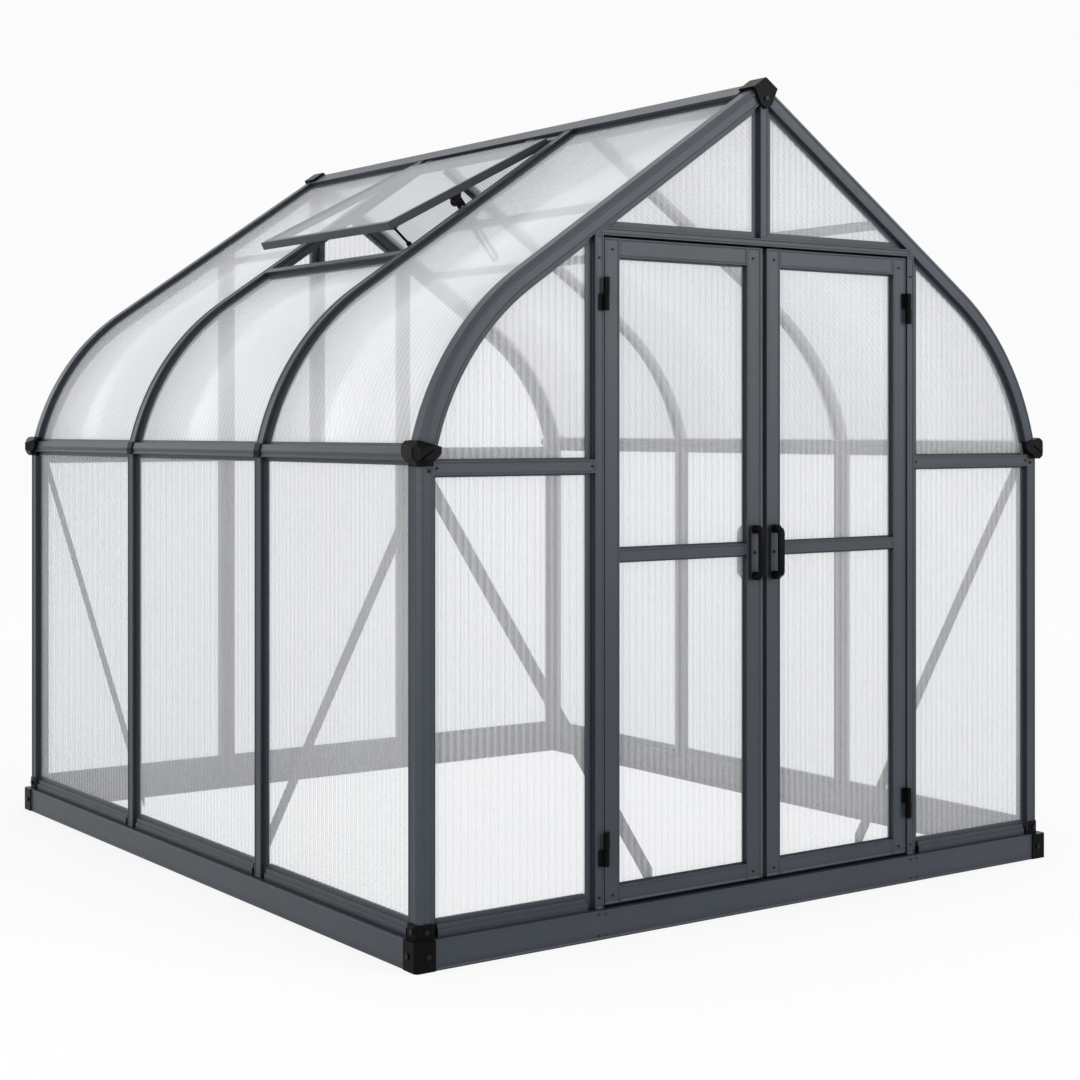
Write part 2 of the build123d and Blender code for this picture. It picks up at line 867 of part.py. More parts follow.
with BuildPart() as door_header:
    add(under_roof(member(header_tube, header_plane, 2 * header_end), corner_reach))
    tips = under_roof(member(header_nose, header_plane, 2 * header_end), corner_face)
    middle = under_roof(member(header_core, header_plane, 2 * header_end), corner_reach)
    add(tips - middle)
    stop_plane = level(stop_reach - door_half, -wall_y, header_bottom, inward_front, (1, 0, 0))
    add(member(head_stop, stop_plane, 2 * (door_half - stop_reach)))
save(door_header, "door_header")

# Rails across the gables at the height of the eave
rail_reach = rail_half + rail_lip
side_full = -wall_x + corner_reach
side_nose = -wall_x + corner_face
with BuildPart() as front_rails:
    full_plane = level(side_full, -wall_y, mid_rail_height, inward_front, (1, 0, 0))
    add(member(rail_tee, full_plane, -jamb_reach - side_full))
    nose_plane = level(side_nose, -wall_y, mid_rail_height, inward_front, (1, 0, 0))
    add(member(rail_nose, nose_plane, -jamb_face - side_nose))
    mirror(about=Plane.YZ)
save(front_rails, "front_rails")

with BuildPart() as rear_rails:
    full_plane = level(-stud_x - stud_reach, wall_y, mid_rail_height, inward_rear, (-1, 0, 0))
    add(member(rail_tee, full_plane, -stud_x - stud_reach - side_full))
    nose_plane = level(-stud_x - stud_half, wall_y, mid_rail_height, inward_rear, (-1, 0, 0))
    add(member(rail_nose, nose_plane, -stud_x - stud_half - side_nose))
    mirror(about=Plane.YZ)
    middle_plane = level(stud_x - stud_reach, wall_y, mid_rail_height, inward_rear, (-1, 0, 0))
    add(member(rail_tee, middle_plane, 2 * (stud_x - stud_reach)))
    middle_nose = level(stud_x - stud_half, wall_y, mid_rail_height, inward_rear, (-1, 0, 0))
    add(member(rail_nose, middle_nose, 2 * (stud_x - stud_half)))
save(rear_rails, "rear_rails")

# Rear studs and the king posts, cut off under the arches
stud_plane = upright(-stud_x, wall_y, base_height, inward_rear)
with BuildPart() as rear_studs:
    add(under_roof(member(stud_tee, stud_plane, ridge_height - base_height), corner_reach))
    add(under_roof(member(stud_nose, stud_plane, ridge_height - base_height), corner_face))
    mirror(about=Plane.YZ)
save(rear_studs, "rear_studs")


def king_post(foot, cap_foot, y, inward):
    """Middle upright of a gable, from a rail to the arches."""
    with BuildPart() as piece:
        add(under_roof(member(stud_tee, upright(0, y, foot, inward), ridge_height - foot), corner_reach))
        add(under_roof(member(stud_nose, upright(0, y, cap_foot, inward), ridge_height - foot), corner_face))
    return piece.part


with BuildPart() as king_posts:
    add(king_post(header_bottom + header_reach, header_top, -wall_y, inward_front))
    add(king_post(mid_rail_height + rail_reach, mid_rail_height + rail_half, wall_y, inward_rear))
save(king_posts, "king_posts")

# Purlins under the panels, between the ribs
purlin_bar = section(
    [
        (keeper_back, -purlin_width / 2),
        (back, -purlin_width / 2),
        (back, purlin_width / 2),
        (keeper_back, purlin_width / 2),
    ]
)
end_bay = (-wall_y + corner_face, -post_y - stem / 2)
middle_bay = (-post_y + stem / 2, post_y - stem / 2)
rear_bay = (-end_bay[1], -end_bay[0])


def purlin(y0, y1):
    """Level bar under the left slope between two places along the ridge."""
    x, z = slope_at(purlin_run, 0)
    place = Plane(origin=(x, y1, z), x_dir=(sin(pitch), 0, -cos(pitch)), z_dir=(0, -1, 0))
    return member(purlin_bar, place, y1 - y0)


with BuildPart() as purlins_left:
    for y0, y1 in (end_bay, rear_bay):
        add(purlin(y0, y1))
save(purlins_left, "purlins_left")

with BuildPart() as purlins_right:
    for y0, y1 in (end_bay, middle_bay, rear_bay):
        add(purlin(y0, y1))
    mirrored_bars = mirror(purlins_right.part, about=Plane.YZ, mode=Mode.PRIVATE)
    add(mirrored_bars, mode=Mode.REPLACE)
save(purlins_right, "purlins_right")


# Flat braces inside the left wall and beside the doors
def brace(place, start, end):
    """Flat bar between two places of its plane, with its ends cut plumb."""
    half = brace_width / 2 * hypot(end[0] - start[0], end[1] - start[1]) / abs(end[0] - start[0])
    outline = [
        (start[0], start[1] - half),
        (end[0], end[1] - half),
        (end[0], end[1] + half),
        (start[0], start[1] + half),
    ]
    return slab(outline, place, brace_thickness)


side_brace_plane = Plane(origin=(-wall_x + back, 0, 0), x_dir=(0, 1, 0), z_dir=(1, 0, 0))
front_brace_plane = Plane(origin=(0, -wall_y + back, 0), x_dir=(-1, 0, 0), z_dir=(0, 1, 0))
with BuildPart() as wall_braces:
    brace_head = (-wall_y + corner_face, eave_height - side_brace_drop)
    brace_foot = (-post_y + brace_width / 2, side_brace_foot)
    add(brace(side_brace_plane, brace_head, brace_foot))
    mirror(about=Plane.XZ)
    front_head = (wall_x - corner_face, eave_height - front_brace_drop)
    front_foot = (door_half + jamb_width / 2, front_brace_foot)
    add(brace(front_brace_plane, front_head, front_foot))
    add(mirror(brace(front_brace_plane, front_head, front_foot), about=Plane.YZ, mode=Mode.PRIVATE))
save(wall_braces, "wall_braces")

# Wall panels, held between the lips and keepers
panel_foot = base_height + sill_step + edge_gap
eave_seat = panel_back * half_lean + pane_edge
side_panel_top = eave_height - eave_seat
side_panel_spans = (
    (-wall_y + corner_pane, -post_y - pane_edge),
    (-post_y + pane_edge, post_y - pane_edge),
    (post_y + pane_edge, wall_y - corner_pane),
)


def sheet(place, u0, u1, v0, v1):
    """Rectangular panel in its plane."""
    return slab([(u0, v0), (u1, v0), (u1, v1), (u0, v1)], place, panel_thickness)


left_pane_plane = Plane(origin=(-wall_x + panel_front, 0, 0), x_dir=(0, 1, 0), z_dir=(1, 0, 0))
front_pane_plane = Plane(origin=(0, -wall_y + panel_front, 0), x_dir=(-1, 0, 0), z_dir=(0, 1, 0))
rear_pane_plane = Plane(origin=(0, wall_y - panel_front, 0), x_dir=(1, 0, 0), z_dir=(0, -1, 0))
with BuildPart() as side_panels_left:
    for y0, y1 in side_panel_spans:
        add(sheet(left_pane_plane, y0, y1, panel_foot, side_panel_top))
save(side_panels_left, "side_panels_left")

with BuildPart() as side_panels_right:
    add(mirror(side_panels_left.part, about=Plane.YZ, mode=Mode.PRIVATE))
save(side_panels_right, "side_panels_right")

rail_seat_low = mid_rail_height - pane_edge
rail_seat_high = mid_rail_height + pane_edge
corner_edge = wall_x - corner_pane
jamb_edge = jamb_face + edge_gap
with BuildPart() as front_lower_panels:
    add(sheet(front_pane_plane, jamb_edge, corner_edge, panel_foot, rail_seat_low))
    mirror(about=Plane.YZ)
save(front_lower_panels, "front_lower_panels")


def arched_sheet(place, inner_edge, side):
    """Gable panel with a bent outer edge, from the rail up to the slope."""
    with BuildPart() as piece:
        with BuildSketch(place):
            arc_mid = radians(90 - eave_lean - arc_sweep / 2)
            inner_radius = arch_radius - corner_pane
            bend = (arc_centre[0] - inner_radius * sin(arc_mid), arc_centre[1] + inner_radius * cos(arc_mid))
            top = slope_at(slope_run(-inner_edge, corner_pane), corner_pane)
            low = plumb_at(corner_pane * half_lean, corner_pane)
            lead_end = lean_at(arch_lead, corner_pane)
            slope_start = slope_at(rafter_length, corner_pane)
            with BuildLine():
                Polyline(
                    (side * slope_start[0], slope_start[1]),
                    (side * top[0], top[1]),
                    (side * top[0], rail_seat_high),
                    (side * low[0], rail_seat_high),
                    (side * low[0], low[1]),
                    (side * lead_end[0], lead_end[1]),
                )
                ThreePointArc(
                    (side * lead_end[0], lead_end[1]),
                    (side * bend[0], bend[1]),
                    (side * slope_start[0], slope_start[1]),
                )
            make_face()
        extrude(amount=panel_thickness)
    return piece.part


def peak_sheet(place, edge, foot, middle):
    """Gable panel beside a king post, under the slope."""
    tip = ridge_height - corner_pane / cos(pitch)
    far = min(edge, (tip - foot) / tan(pitch))
    outline = [(middle, foot), (far, foot)]
    if far == edge:
        outline.append((far, tip - far * tan(pitch)))
    outline.append((middle, tip - middle * tan(pitch)))
    return slab(outline, place, panel_thickness)


with BuildPart() as front_upper_panels:
    add(arched_sheet(front_pane_plane, jamb_edge, -1))
    split(bisect_by=Plane.XY.offset(header_bottom - edge_gap), keep=Keep.BOTTOM)
    add(peak_sheet(front_pane_plane, wall_x, header_top + edge_gap, pane_edge))
    mirror(about=Plane.YZ)
save(front_upper_panels, "front_upper_panels")

with BuildPart() as rear_lower_panels:
    for u0, u1 in (
        (stud_x + pane_edge, corner_edge),
        (-stud_x + pane_edge, stud_x - pane_edge),
        (-corner_edge, -stud_x - pane_edge),
    ):
        add(sheet(rear_pane_plane, u0, u1, panel_foot, rail_seat_low))
save(rear_lower_panels, "rear_lower_panels")

with BuildPart() as rear_upper_panels:
    add(arched_sheet(rear_pane_plane, stud_x + pane_edge, 1))
    add(peak_sheet(rear_pane_plane, stud_x - pane_edge, rail_seat_high, pane_edge))
    mirror(about=Plane.YZ)
save(rear_upper_panels, "rear_upper_panels")

# Roof panels, bent from the eave to the ridge
ridge_seat = slope_run(-stem / 2, panel_back) + edge_gap
end_strip = (-wall_y + corner_pane, -post_y - pane_edge)
rear_strip = (post_y + pane_edge, wall_y - corner_pane)
middle_strip = (-post_y + pane_edge, post_y - pane_edge)
with BuildPart() as roof_panels_left:
    for y0, y1 in (end_strip, rear_strip):
        add(arch(strip(y0, y1), 0, eave_seat, ridge_seat))
save(roof_panels_left, "roof_panels_left")

with BuildPart() as roof_panels_right:
    for y0, y1 in (end_strip, middle_strip, rear_strip):
        add(arch(strip(y0, y1), 0, eave_seat, ridge_seat))
    mirrored_panels = mirror(roof_panels_right.part, about=Plane.YZ, mode=Mode.PRIVATE)
    add(mirrored_panels, mode=Mode.REPLACE)
save(roof_panels_right, "roof_panels_right")

vent_foot = vent_sill + vent_bar
with BuildPart() as roof_panels_vent_bay:
    add(arch(strip(*middle_strip), 0, eave_seat, vent_foot + edge_gap))
    top_strip = vent_top - edge_gap
    add(member(strip(*middle_strip), rafter_plane(top_strip, 0), top_strip - ridge_seat))
save(roof_panels_vent_bay, "roof_panels_vent_bay")


# Header and sill bars of the vent opening, tubes with lips, as (run, depth)
def curb_bar(run, above, below, keeper_above):
    """Outline and bore of a bar across the slope."""
    end = run + vent_bar
    outline = [
        (run, 0),
        (end, 0),
        (end, proud),
        (end + below, proud),
        (end + below, panel_front),
        (end, panel_front),
        (end, keeper_back),
        (run, keeper_back),
        (run, panel_front),
        (run - above, panel_front),
        (run - above, proud),
        (run, proud),
    ]
    if keeper_above:
        outline.insert(8, (run - above, keeper_back))
        outline.insert(9, (run - above, panel_back))
        outline.insert(10, (run, panel_back))
    else:
        outline.insert(6, (end, panel_back))
        outline.insert(7, (end + below, panel_back))
        outline.insert(8, (end + below, keeper_back))
    hollow = [
        (run + skin, skin),
        (end - skin, skin),
        (end - skin, keeper_back - skin),
        (run + skin, keeper_back - skin),
    ]
    return section(outline, hollow)


def roof_side(y):
    """Plane along the slope and down from it, at one place along the ridge."""
    return Plane(
        origin=(0, y, ridge_height),
        x_dir=(-cos(pitch), 0, -sin(pitch)),
        z_dir=(0, -1, 0),
    )


curb_half = post_y - post_reach
curb_tip = post_y - post_half


def curb_nose(run):
    """Cap ends of a bar, over the lips of the ribs."""
    profile = section([(run, 0), (run + vent_bar, 0), (run + vent_bar, proud), (run, proud)])
    with BuildPart() as ends:
        add(member(profile, roof_side(curb_tip), curb_tip - curb_half))
        mirror(about=Plane.XZ)
    return ends.part


with BuildPart() as vent_curb:
    add(member(curb_bar(vent_top, edge_gap * 3, vent_lip, True), roof_side(curb_half), 2 * curb_half))
    add(curb_nose(vent_top))
    add(member(curb_bar(vent_sill, vent_lip, vent_lip, False), roof_side(curb_half), 2 * curb_half))
    add(curb_nose(vent_sill))
save(vent_curb, "vent_curb")

# Vent flap, drawn as it stands open at rest
hinge_run = vent_top + vent_bar + vent_pin_gap / 8
hinge_x, hinge_z = slope_at(hinge_run, -vent_pin_lift)
flap_pitch = radians(roof_pitch - vent_open)
flap_plane = Plane(
    origin=(hinge_x, 0, hinge_z),
    x_dir=(-cos(flap_pitch), 0, -sin(flap_pitch)),
    z_dir=(-sin(flap_pitch), 0, cos(flap_pitch)),
)


def flap_side(y):
    """Plane along the flap and down from it, through the hinge line."""
    return Plane(
        origin=(hinge_x, y, hinge_z),
        x_dir=(-cos(flap_pitch), 0, -sin(flap_pitch)),
        z_dir=(0, -1, 0),
    )


flap_start = vent_pin_gap
flap_end = vent_sill - vent_gap - hinge_run
flap_top = vent_pin_lift - vent_lift
flap_bottom = flap_top + vent_depth
flap_middle = (flap_start + flap_end) / 2
flap_length = flap_end - flap_start
hole_length = flap_length - 2 * vent_rail
hole_width = 2 * (vent_edge - vent_rail)
with BuildPart() as vent_frame:
    with BuildSketch(flap_plane.offset(-flap_bottom)):
        with Locations((flap_middle, 0)):
            Rectangle(flap_length, 2 * vent_edge)
            Rectangle(hole_length, hole_width, mode=Mode.SUBTRACT)
    extrude(amount=vent_depth)
    with BuildSketch(flap_plane.offset(-flap_top)):
        with Locations((flap_middle, 0)):
            Rectangle(
                hole_length + 2 * (vent_rebate + side_gap),
                hole_width + 2 * (vent_rebate + side_gap),
            )
    extrude(amount=-vent_pane, mode=Mode.SUBTRACT)
save(vent_frame, "vent_frame")

with BuildPart() as vent_glass:
    with BuildSketch(flap_plane.offset(-flap_top - vent_pane)):
        with Locations((flap_middle, 0)):
            Rectangle(hole_length + 2 * vent_rebate, hole_width + 2 * vent_rebate)
    extrude(amount=vent_pane)
save(vent_glass, "vent_glass")


# Vent hinges: a fixed knuckle with its pin on the header bar, a moving one on the flap
def disc(place, centre, radius, length):
    """Round bar out of its plane."""
    with BuildPart() as piece:
        with BuildSketch(place):
            with Locations(centre):
                Circle(radius)
        extrude(amount=length)
    return piece.part


def barrel(place, centre, radius, length):
    """Many-sided hinge barrel out of its plane."""
    with BuildPart() as piece:
        with BuildSketch(place):
            with Locations(centre):
                RegularPolygon(radius, barrel_sides, major_radius=False)
        extrude(amount=length)
    return piece.part


pin_place = (hinge_run, -vent_pin_lift)
hinge_span = fixed_knuckle + knuckle_gap + moving_knuckle
fixed_leg = [
    (hinge_run, -vent_pin_lift - vent_knuckle),
    (hinge_run, -vent_pin_lift / 4),
    (vent_top + vent_bar, 0),
    (vent_top + skin, 0),
    (vent_top + skin, -lip),
    (vent_top + vent_bar / 2, -lip),
]
with BuildPart() as vent_hinges_fixed:
    for y in (-vent_hinge_y, vent_hinge_y):
        add(slab(fixed_leg, roof_side(y), fixed_knuckle))
        add(barrel(roof_side(y), pin_place, vent_knuckle, fixed_knuckle))
        add(disc(roof_side(y - fixed_knuckle + hinge_span), pin_place, vent_pin, hinge_span))
save(vent_hinges_fixed, "vent_hinges_fixed")

moving_leg = [
    (0, -vent_knuckle),
    (flap_start, flap_top),
    (flap_start, vent_knuckle),
    (0, vent_knuckle),
]
with BuildPart() as vent_hinges:
    for y in (-vent_hinge_y, vent_hinge_y):
        knuckle_end = flap_side(y + knuckle_gap + moving_knuckle)
        add(slab(moving_leg, knuckle_end, moving_knuckle))
        add(barrel(knuckle_end, (0, 0), vent_knuckle, moving_knuckle))
        add(disc(knuckle_end, (0, 0), vent_pin + pin_clearance, moving_knuckle), mode=Mode.SUBTRACT)
save(vent_hinges, "vent_hinges")

# Vent stay: a slotted bar on a lug of the flap, sliding over a pin on the rib
stay_front = -stay_y - stay_thickness / 2
stay_back = -stay_y + stay_thickness / 2
lug_face = stay_back + side_gap
pivot = (stay_run, stay_drop)
with BuildPart() as vent_stay_lug:
    lug_outline = [
        (stay_run - 2 * lug_radius, flap_bottom),
        (stay_run + 2 * lug_radius, flap_bottom),
        (stay_run + lug_radius, stay_drop),
        (stay_run - lug_radius, stay_drop),
    ]
    add(slab(lug_outline, flap_side(lug_face + lug_thickness), lug_thickness))
    add(disc(flap_side(lug_face + lug_thickness), pivot, lug_radius, lug_thickness))
    add(disc(flap_side(lug_face), pivot, stay_pivot, stay_thickness + 2 * side_gap + skin))
save(vent_stay_lug, "vent_stay_lug")

with BuildPart() as vent_knob:
    with BuildSketch(flap_side(lug_face + lug_thickness + knob_depth)):
        with Locations(pivot):
            RegularPolygon(knob_radius, knob_sides)
    extrude(amount=knob_depth)
    chamfer(faces().sort_by(Axis.Y)[-1].edges(), skin)
save(vent_knob, "vent_knob")

shut_angle = degrees(atan2(stay_drop, stay_run))
pin_angle = shut_angle + stay_angle
stay_radius = hypot(stay_run, stay_drop)
roof_pin = (
    hinge_run + stay_radius * cos(radians(pin_angle)),
    stay_radius * sin(radians(pin_angle)) - vent_pin_lift,
)
chord_angle = radians((shut_angle + pin_angle) / 2 + vent_open / 2 + 90)
along = (cos(chord_angle), sin(chord_angle))
slot_start = 2 * stay_radius * sin(radians(stay_angle / 2)) - 2 * stay_pin
slot_end = stay_length + stay_pin
slot_half = stay_pin + slot_clearance


def stay_point(distance, side):
    """Place on the stay, along it from its pivot and across it."""
    return (
        stay_run + distance * along[0] - side * along[1],
        stay_drop + distance * along[1] + side * along[0],
    )


def bar_shape(start, end, half):
    """Round-ended bar along the stay."""
    with BuildSketch() as shape:
        with BuildLine():
            Polyline(
                stay_point(start, -half),
                stay_point(end, -half),
                stay_point(end, half),
                stay_point(start, half),
                close=True,
            )
        make_face()
        with Locations(stay_point(start, 0), stay_point(end, 0)):
            Circle(half)
    return shape.sketch


with BuildPart() as vent_stay:
    with BuildSketch(flap_side(stay_back)):
        add(bar_shape(0, slot_end, stay_width / 2))
        add(bar_shape(slot_start, slot_end, slot_half), mode=Mode.SUBTRACT)
        with Locations(pivot):
            Circle(stay_pivot + pin_clearance, mode=Mode.SUBTRACT)
    extrude(amount=stay_thickness)
save(vent_stay, "vent_stay")

bracket_face = stay_front - bracket_thickness + side_gap * 2
pin_head = lug_face
with BuildPart() as vent_stay_bracket:
    plate = [
        (roof_pin[0] - bracket_half, back),
        (roof_pin[0] + bracket_half, back),
        (roof_pin[0] + bracket_half, roof_pin[1] + bracket_half),
        (roof_pin[0] - bracket_half, roof_pin[1] + bracket_half),
    ]
    add(slab(plate, roof_side(bracket_face), bracket_thickness))
    foot = [
        (roof_pin[0] - bracket_half, back),
        (roof_pin[0] + bracket_half, back),
        (roof_pin[0] + bracket_half, back + bracket_thickness),
        (roof_pin[0] - bracket_half, back + bracket_thickness),
    ]
    add(slab(foot, roof_side(bracket_face), bracket_face + post_y + stem / 2))
    add(disc(roof_side(pin_head), roof_pin, stay_pin, pin_head - bracket_face))
    add(disc(roof_side(pin_head + bracket_thickness), roof_pin, 2 * stay_pin, bracket_thickness))
save(vent_stay_bracket, "vent_stay_bracket")

# Vent lever, a knob on a stalk that leans in from the lower edge of the flap
lever_run = flap_end - vent_rail
lever_angle = flap_pitch + radians(lever_tilt)
lever_foot = flap_plane.offset(-flap_bottom)
lever_start = lever_foot.offset(-lever_base / 2).from_local_coords((lever_run, lever_y))
stalk = Plane(origin=lever_start, z_dir=(sin(lever_angle), 0, -cos(lever_angle)))
with BuildPart() as vent_lever:
    with BuildSketch(lever_foot):
        with Locations((lever_run, lever_y)):
            Rectangle(4 * lever_radius, 4 * lever_radius)
    extrude(amount=-lever_base)
    with BuildSketch(stalk):
        RegularPolygon(lever_radius, lever_sides)
    extrude(amount=lever_length)
    with BuildSketch(stalk.offset(lever_length - lever_knob)):
        RegularPolygon(lever_knob, lever_sides)
    extrude(amount=2 * lever_knob)
    knob_ends = faces().filter_by(Axis((0, 0, 0), stalk.z_dir)).sort_by(Axis(stalk.origin, stalk.z_dir))
    chamfer(knob_ends[-1].edges() + knob_ends[-2].outer_wire().edges(), lever_bevel)
save(vent_lever, "vent_lever")

# Doors: the left one, and the right one as its mirror image
door_edge = door_half - door_gap
door_foot = base_height + door_rise
door_top = header_bottom - door_head_gap
cross_rail_height = door_foot + cross_rail_share * (door_top - door_foot)
door_back = door_set + door_depth
pane_front = door_set + door_recess


def door_tube(width, low_lip, high_lip):
    """Door profile, as (depth, across from zero to width), with a lip at either side."""
    outline = [(door_set, 0), (door_set, width)]
    if high_lip:
        outline += [
            (pane_front - lip, width),
            (pane_front - lip, width + door_lip),
            (pane_front, width + door_lip),
            (pane_front, width),
        ]
    outline += [(door_back, width), (door_back, 0)]
    if low_lip:
        outline += [
            (pane_front, 0),
            (pane_front, -door_lip),
            (pane_front - lip, -door_lip),
            (pane_front - lip, 0),
        ]
    hollow = [
        (door_set + skin, skin),
        (door_set + skin, width - skin),
        (door_back - skin, width - skin),
        (door_back - skin, skin),
    ]
    return section(outline, hollow)


stile_tube = door_tube(stile_width, False, True)
with BuildPart() as door_left_stiles:
    hinge_stile = Plane(origin=(-door_edge, -wall_y, door_top), x_dir=inward_front, z_dir=(0, 0, -1))
    add(member(stile_tube, hinge_stile, door_top - door_foot))
    add(member(stile_tube, upright(-meeting_gap, -wall_y, door_foot, inward_front), door_top - door_foot))
save(door_left_stiles, "door_left_stiles")

rail_start = -door_edge + stile_width
rail_end = -meeting_gap - stile_width


def door_rail(foot, width, low_lip, high_lip):
    """Rail between the stiles, its face running on over their lips."""
    with BuildPart() as piece:
        inner = level(rail_start + door_lip, -wall_y, foot, inward_front, (1, 0, 0))
        add(member(door_tube(width, low_lip, high_lip), inner, rail_end - rail_start - 2 * door_lip))
        face = section([(door_set, 0), (pane_front - lip, 0), (pane_front - lip, width), (door_set, width)])
        for x in (rail_start, rail_end - door_lip):
            add(member(face, level(x, -wall_y, foot, inward_front, (1, 0, 0)), door_lip))
    return piece.part


cross_foot = cross_rail_height - cross_rail / 2
with BuildPart() as door_left_rails:
    add(door_rail(door_foot, bottom_rail, False, True))
    add(door_rail(cross_foot, cross_rail, True, True))
    add(door_rail(door_top - top_rail, top_rail, True, False))
save(door_left_rails, "door_left_rails")

door_pane_plane = Plane(origin=(0, -wall_y + pane_front, 0), x_dir=(-1, 0, 0), z_dir=(0, 1, 0))
with BuildPart() as door_left_panes:
    for z0, z1 in (
        (door_foot + bottom_rail, cross_foot),
        (cross_foot + cross_rail, door_top - top_rail),
    ):
        u0 = -rail_end + edge_gap
        u1 = -rail_start - edge_gap
        add(sheet(door_pane_plane, u0, u1, z0 + edge_gap, z1 - edge_gap))
save(door_left_panes, "door_left_panes")

door_brace_plane = Plane(origin=(0, -wall_y + door_back, 0), x_dir=(-1, 0, 0), z_dir=(0, 1, 0))
with BuildPart() as door_left_brace:
    brace_half = brace_width / 2 * hypot(door_brace_run, door_brace_rise) / door_brace_run
    brace_low = (door_edge - stile_width / 2 - door_brace_run, door_foot + edge_gap + brace_half)
    brace_top = (brace_low[0] + door_brace_run, brace_low[1] + door_brace_rise)
    add(brace(door_brace_plane, brace_top, brace_low))
save(door_left_brace, "door_left_brace")

with BuildPart() as door_meeting_strip:
    with BuildSketch(Plane.XY.offset(door_foot)):
        with Locations((-meeting_gap, -wall_y + door_set + door_depth / 5)):
            Rectangle(strip_reach, strip_depth, align=(Align.MIN, Align.MIN))
    extrude(amount=door_top - door_foot)
save(door_meeting_strip, "door_meeting_strip")

# Door hinges: lower halves with their pins on the jambs, upper halves on the doors
axis_x = -door_edge - door_gap / 2
axis_y = -wall_y - hinge_stand


def plan_block(x0, x1, d0, d1, z, height):
    """Upright block between two x, two depths and a foot."""
    with BuildPart() as piece:
        with BuildSketch(Plane.XY.offset(z)):
            with Locations((x0, -wall_y + d0)):
                Rectangle(x1 - x0, d1 - d0, align=(Align.MIN, Align.MIN))
        extrude(amount=height)
    return piece.part


half_hinge = hinge_height / 2 - knuckle_gap / 2
with BuildPart() as door_hinges_fixed:
    for z in (hinge_low, hinge_high):
        foot = z - hinge_height / 2
        add(barrel(Plane.XY.offset(foot), (axis_x, axis_y), hinge_radius, half_hinge))
        add(plan_block(axis_x - hinge_radius, axis_x, -hinge_stand, 0, foot, half_hinge))
        leaf_end = -door_half - side_gap
        add(plan_block(leaf_end - hinge_leaf, leaf_end, -leaf_thickness, 0, foot, half_hinge))
        add(disc(Plane.XY.offset(foot), (axis_x, axis_y), hinge_pin, hinge_height))
    mirror(about=Plane.YZ)
save(door_hinges_fixed, "door_hinges_fixed")

with BuildPart() as door_left_hinges:
    for z in (hinge_low, hinge_high):
        foot = z + knuckle_gap / 2
        add(barrel(Plane.XY.offset(foot), (axis_x, axis_y), hinge_radius, half_hinge))
        add(plan_block(axis_x, axis_x + hinge_radius, -hinge_stand, door_set, foot, half_hinge))
        leaf_start = -door_edge
        leaf_stop = leaf_start + hinge_leaf
        add(plan_block(leaf_start, leaf_stop, door_set - leaf_thickness, door_set, foot, half_hinge))
    for z in (hinge_low, hinge_high):
        bore = disc(Plane.XY.offset(z), (axis_x, axis_y), hinge_pin + pin_clearance, hinge_height)
        add(bore, mode=Mode.SUBTRACT)
save(door_left_hinges, "door_left_hinges")


# Pull handles, a D on a plate, on both faces of each door
def pull_handle(face, out):
    """Handle on the left door at this depth, projecting towards out along Y."""
    middle = (-handle_offset, -wall_y + face, cross_rail_height - handle_drop)
    side = Plane(origin=middle, x_dir=(0, out, 0), z_dir=(1, 0, 0))
    half = handle_length / 2
    far = handle_plate + handle_reach
    inner = far - handle_grip
    loop = [
        (handle_plate, half),
        (far - handle_bevel, half),
        (far, half - handle_bevel),
        (far, handle_bevel - half),
        (far - handle_bevel, -half),
        (handle_plate, -half),
        (handle_plate, handle_grip - half),
        (inner - handle_bevel / 2, handle_grip - half),
        (inner, handle_grip + handle_bevel / 2 - half),
        (inner, half - handle_grip - handle_bevel / 2),
        (inner - handle_bevel / 2, half - handle_grip),
        (handle_plate, half - handle_grip),
    ]
    with BuildPart() as piece:
        with BuildSketch(side):
            with Locations((handle_plate / 2, 0)):
                Rectangle(handle_plate, handle_length + 2 * plate_margin)
        extrude(amount=handle_width / 2 + plate_margin, both=True)
        with BuildSketch(side):
            add(section(loop))
        extrude(amount=handle_width / 2, both=True)
    return piece.part


with BuildPart() as door_left_handles:
    add(pull_handle(door_set, -1))
    add(pull_handle(door_back, 1))
save(door_left_handles, "door_left_handles")

for left, label in (
    (door_left_stiles, "door_right_stiles"),
    (door_left_rails, "door_right_rails"),
    (door_left_panes, "door_right_panes"),
    (door_left_brace, "door_right_brace"),
    (door_left_hinges, "door_right_hinges"),
    (door_left_handles, "door_right_handles"),
):
    with BuildPart() as door_right_piece:
        add(mirror(left.part, about=Plane.YZ, mode=Mode.PRIVATE))
    save(door_right_piece, label)
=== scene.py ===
"""Visual model of a walk-in greenhouse on a white studio floor, in metres."""

import json
from math import copysign, cos, hypot, pi, radians, sin

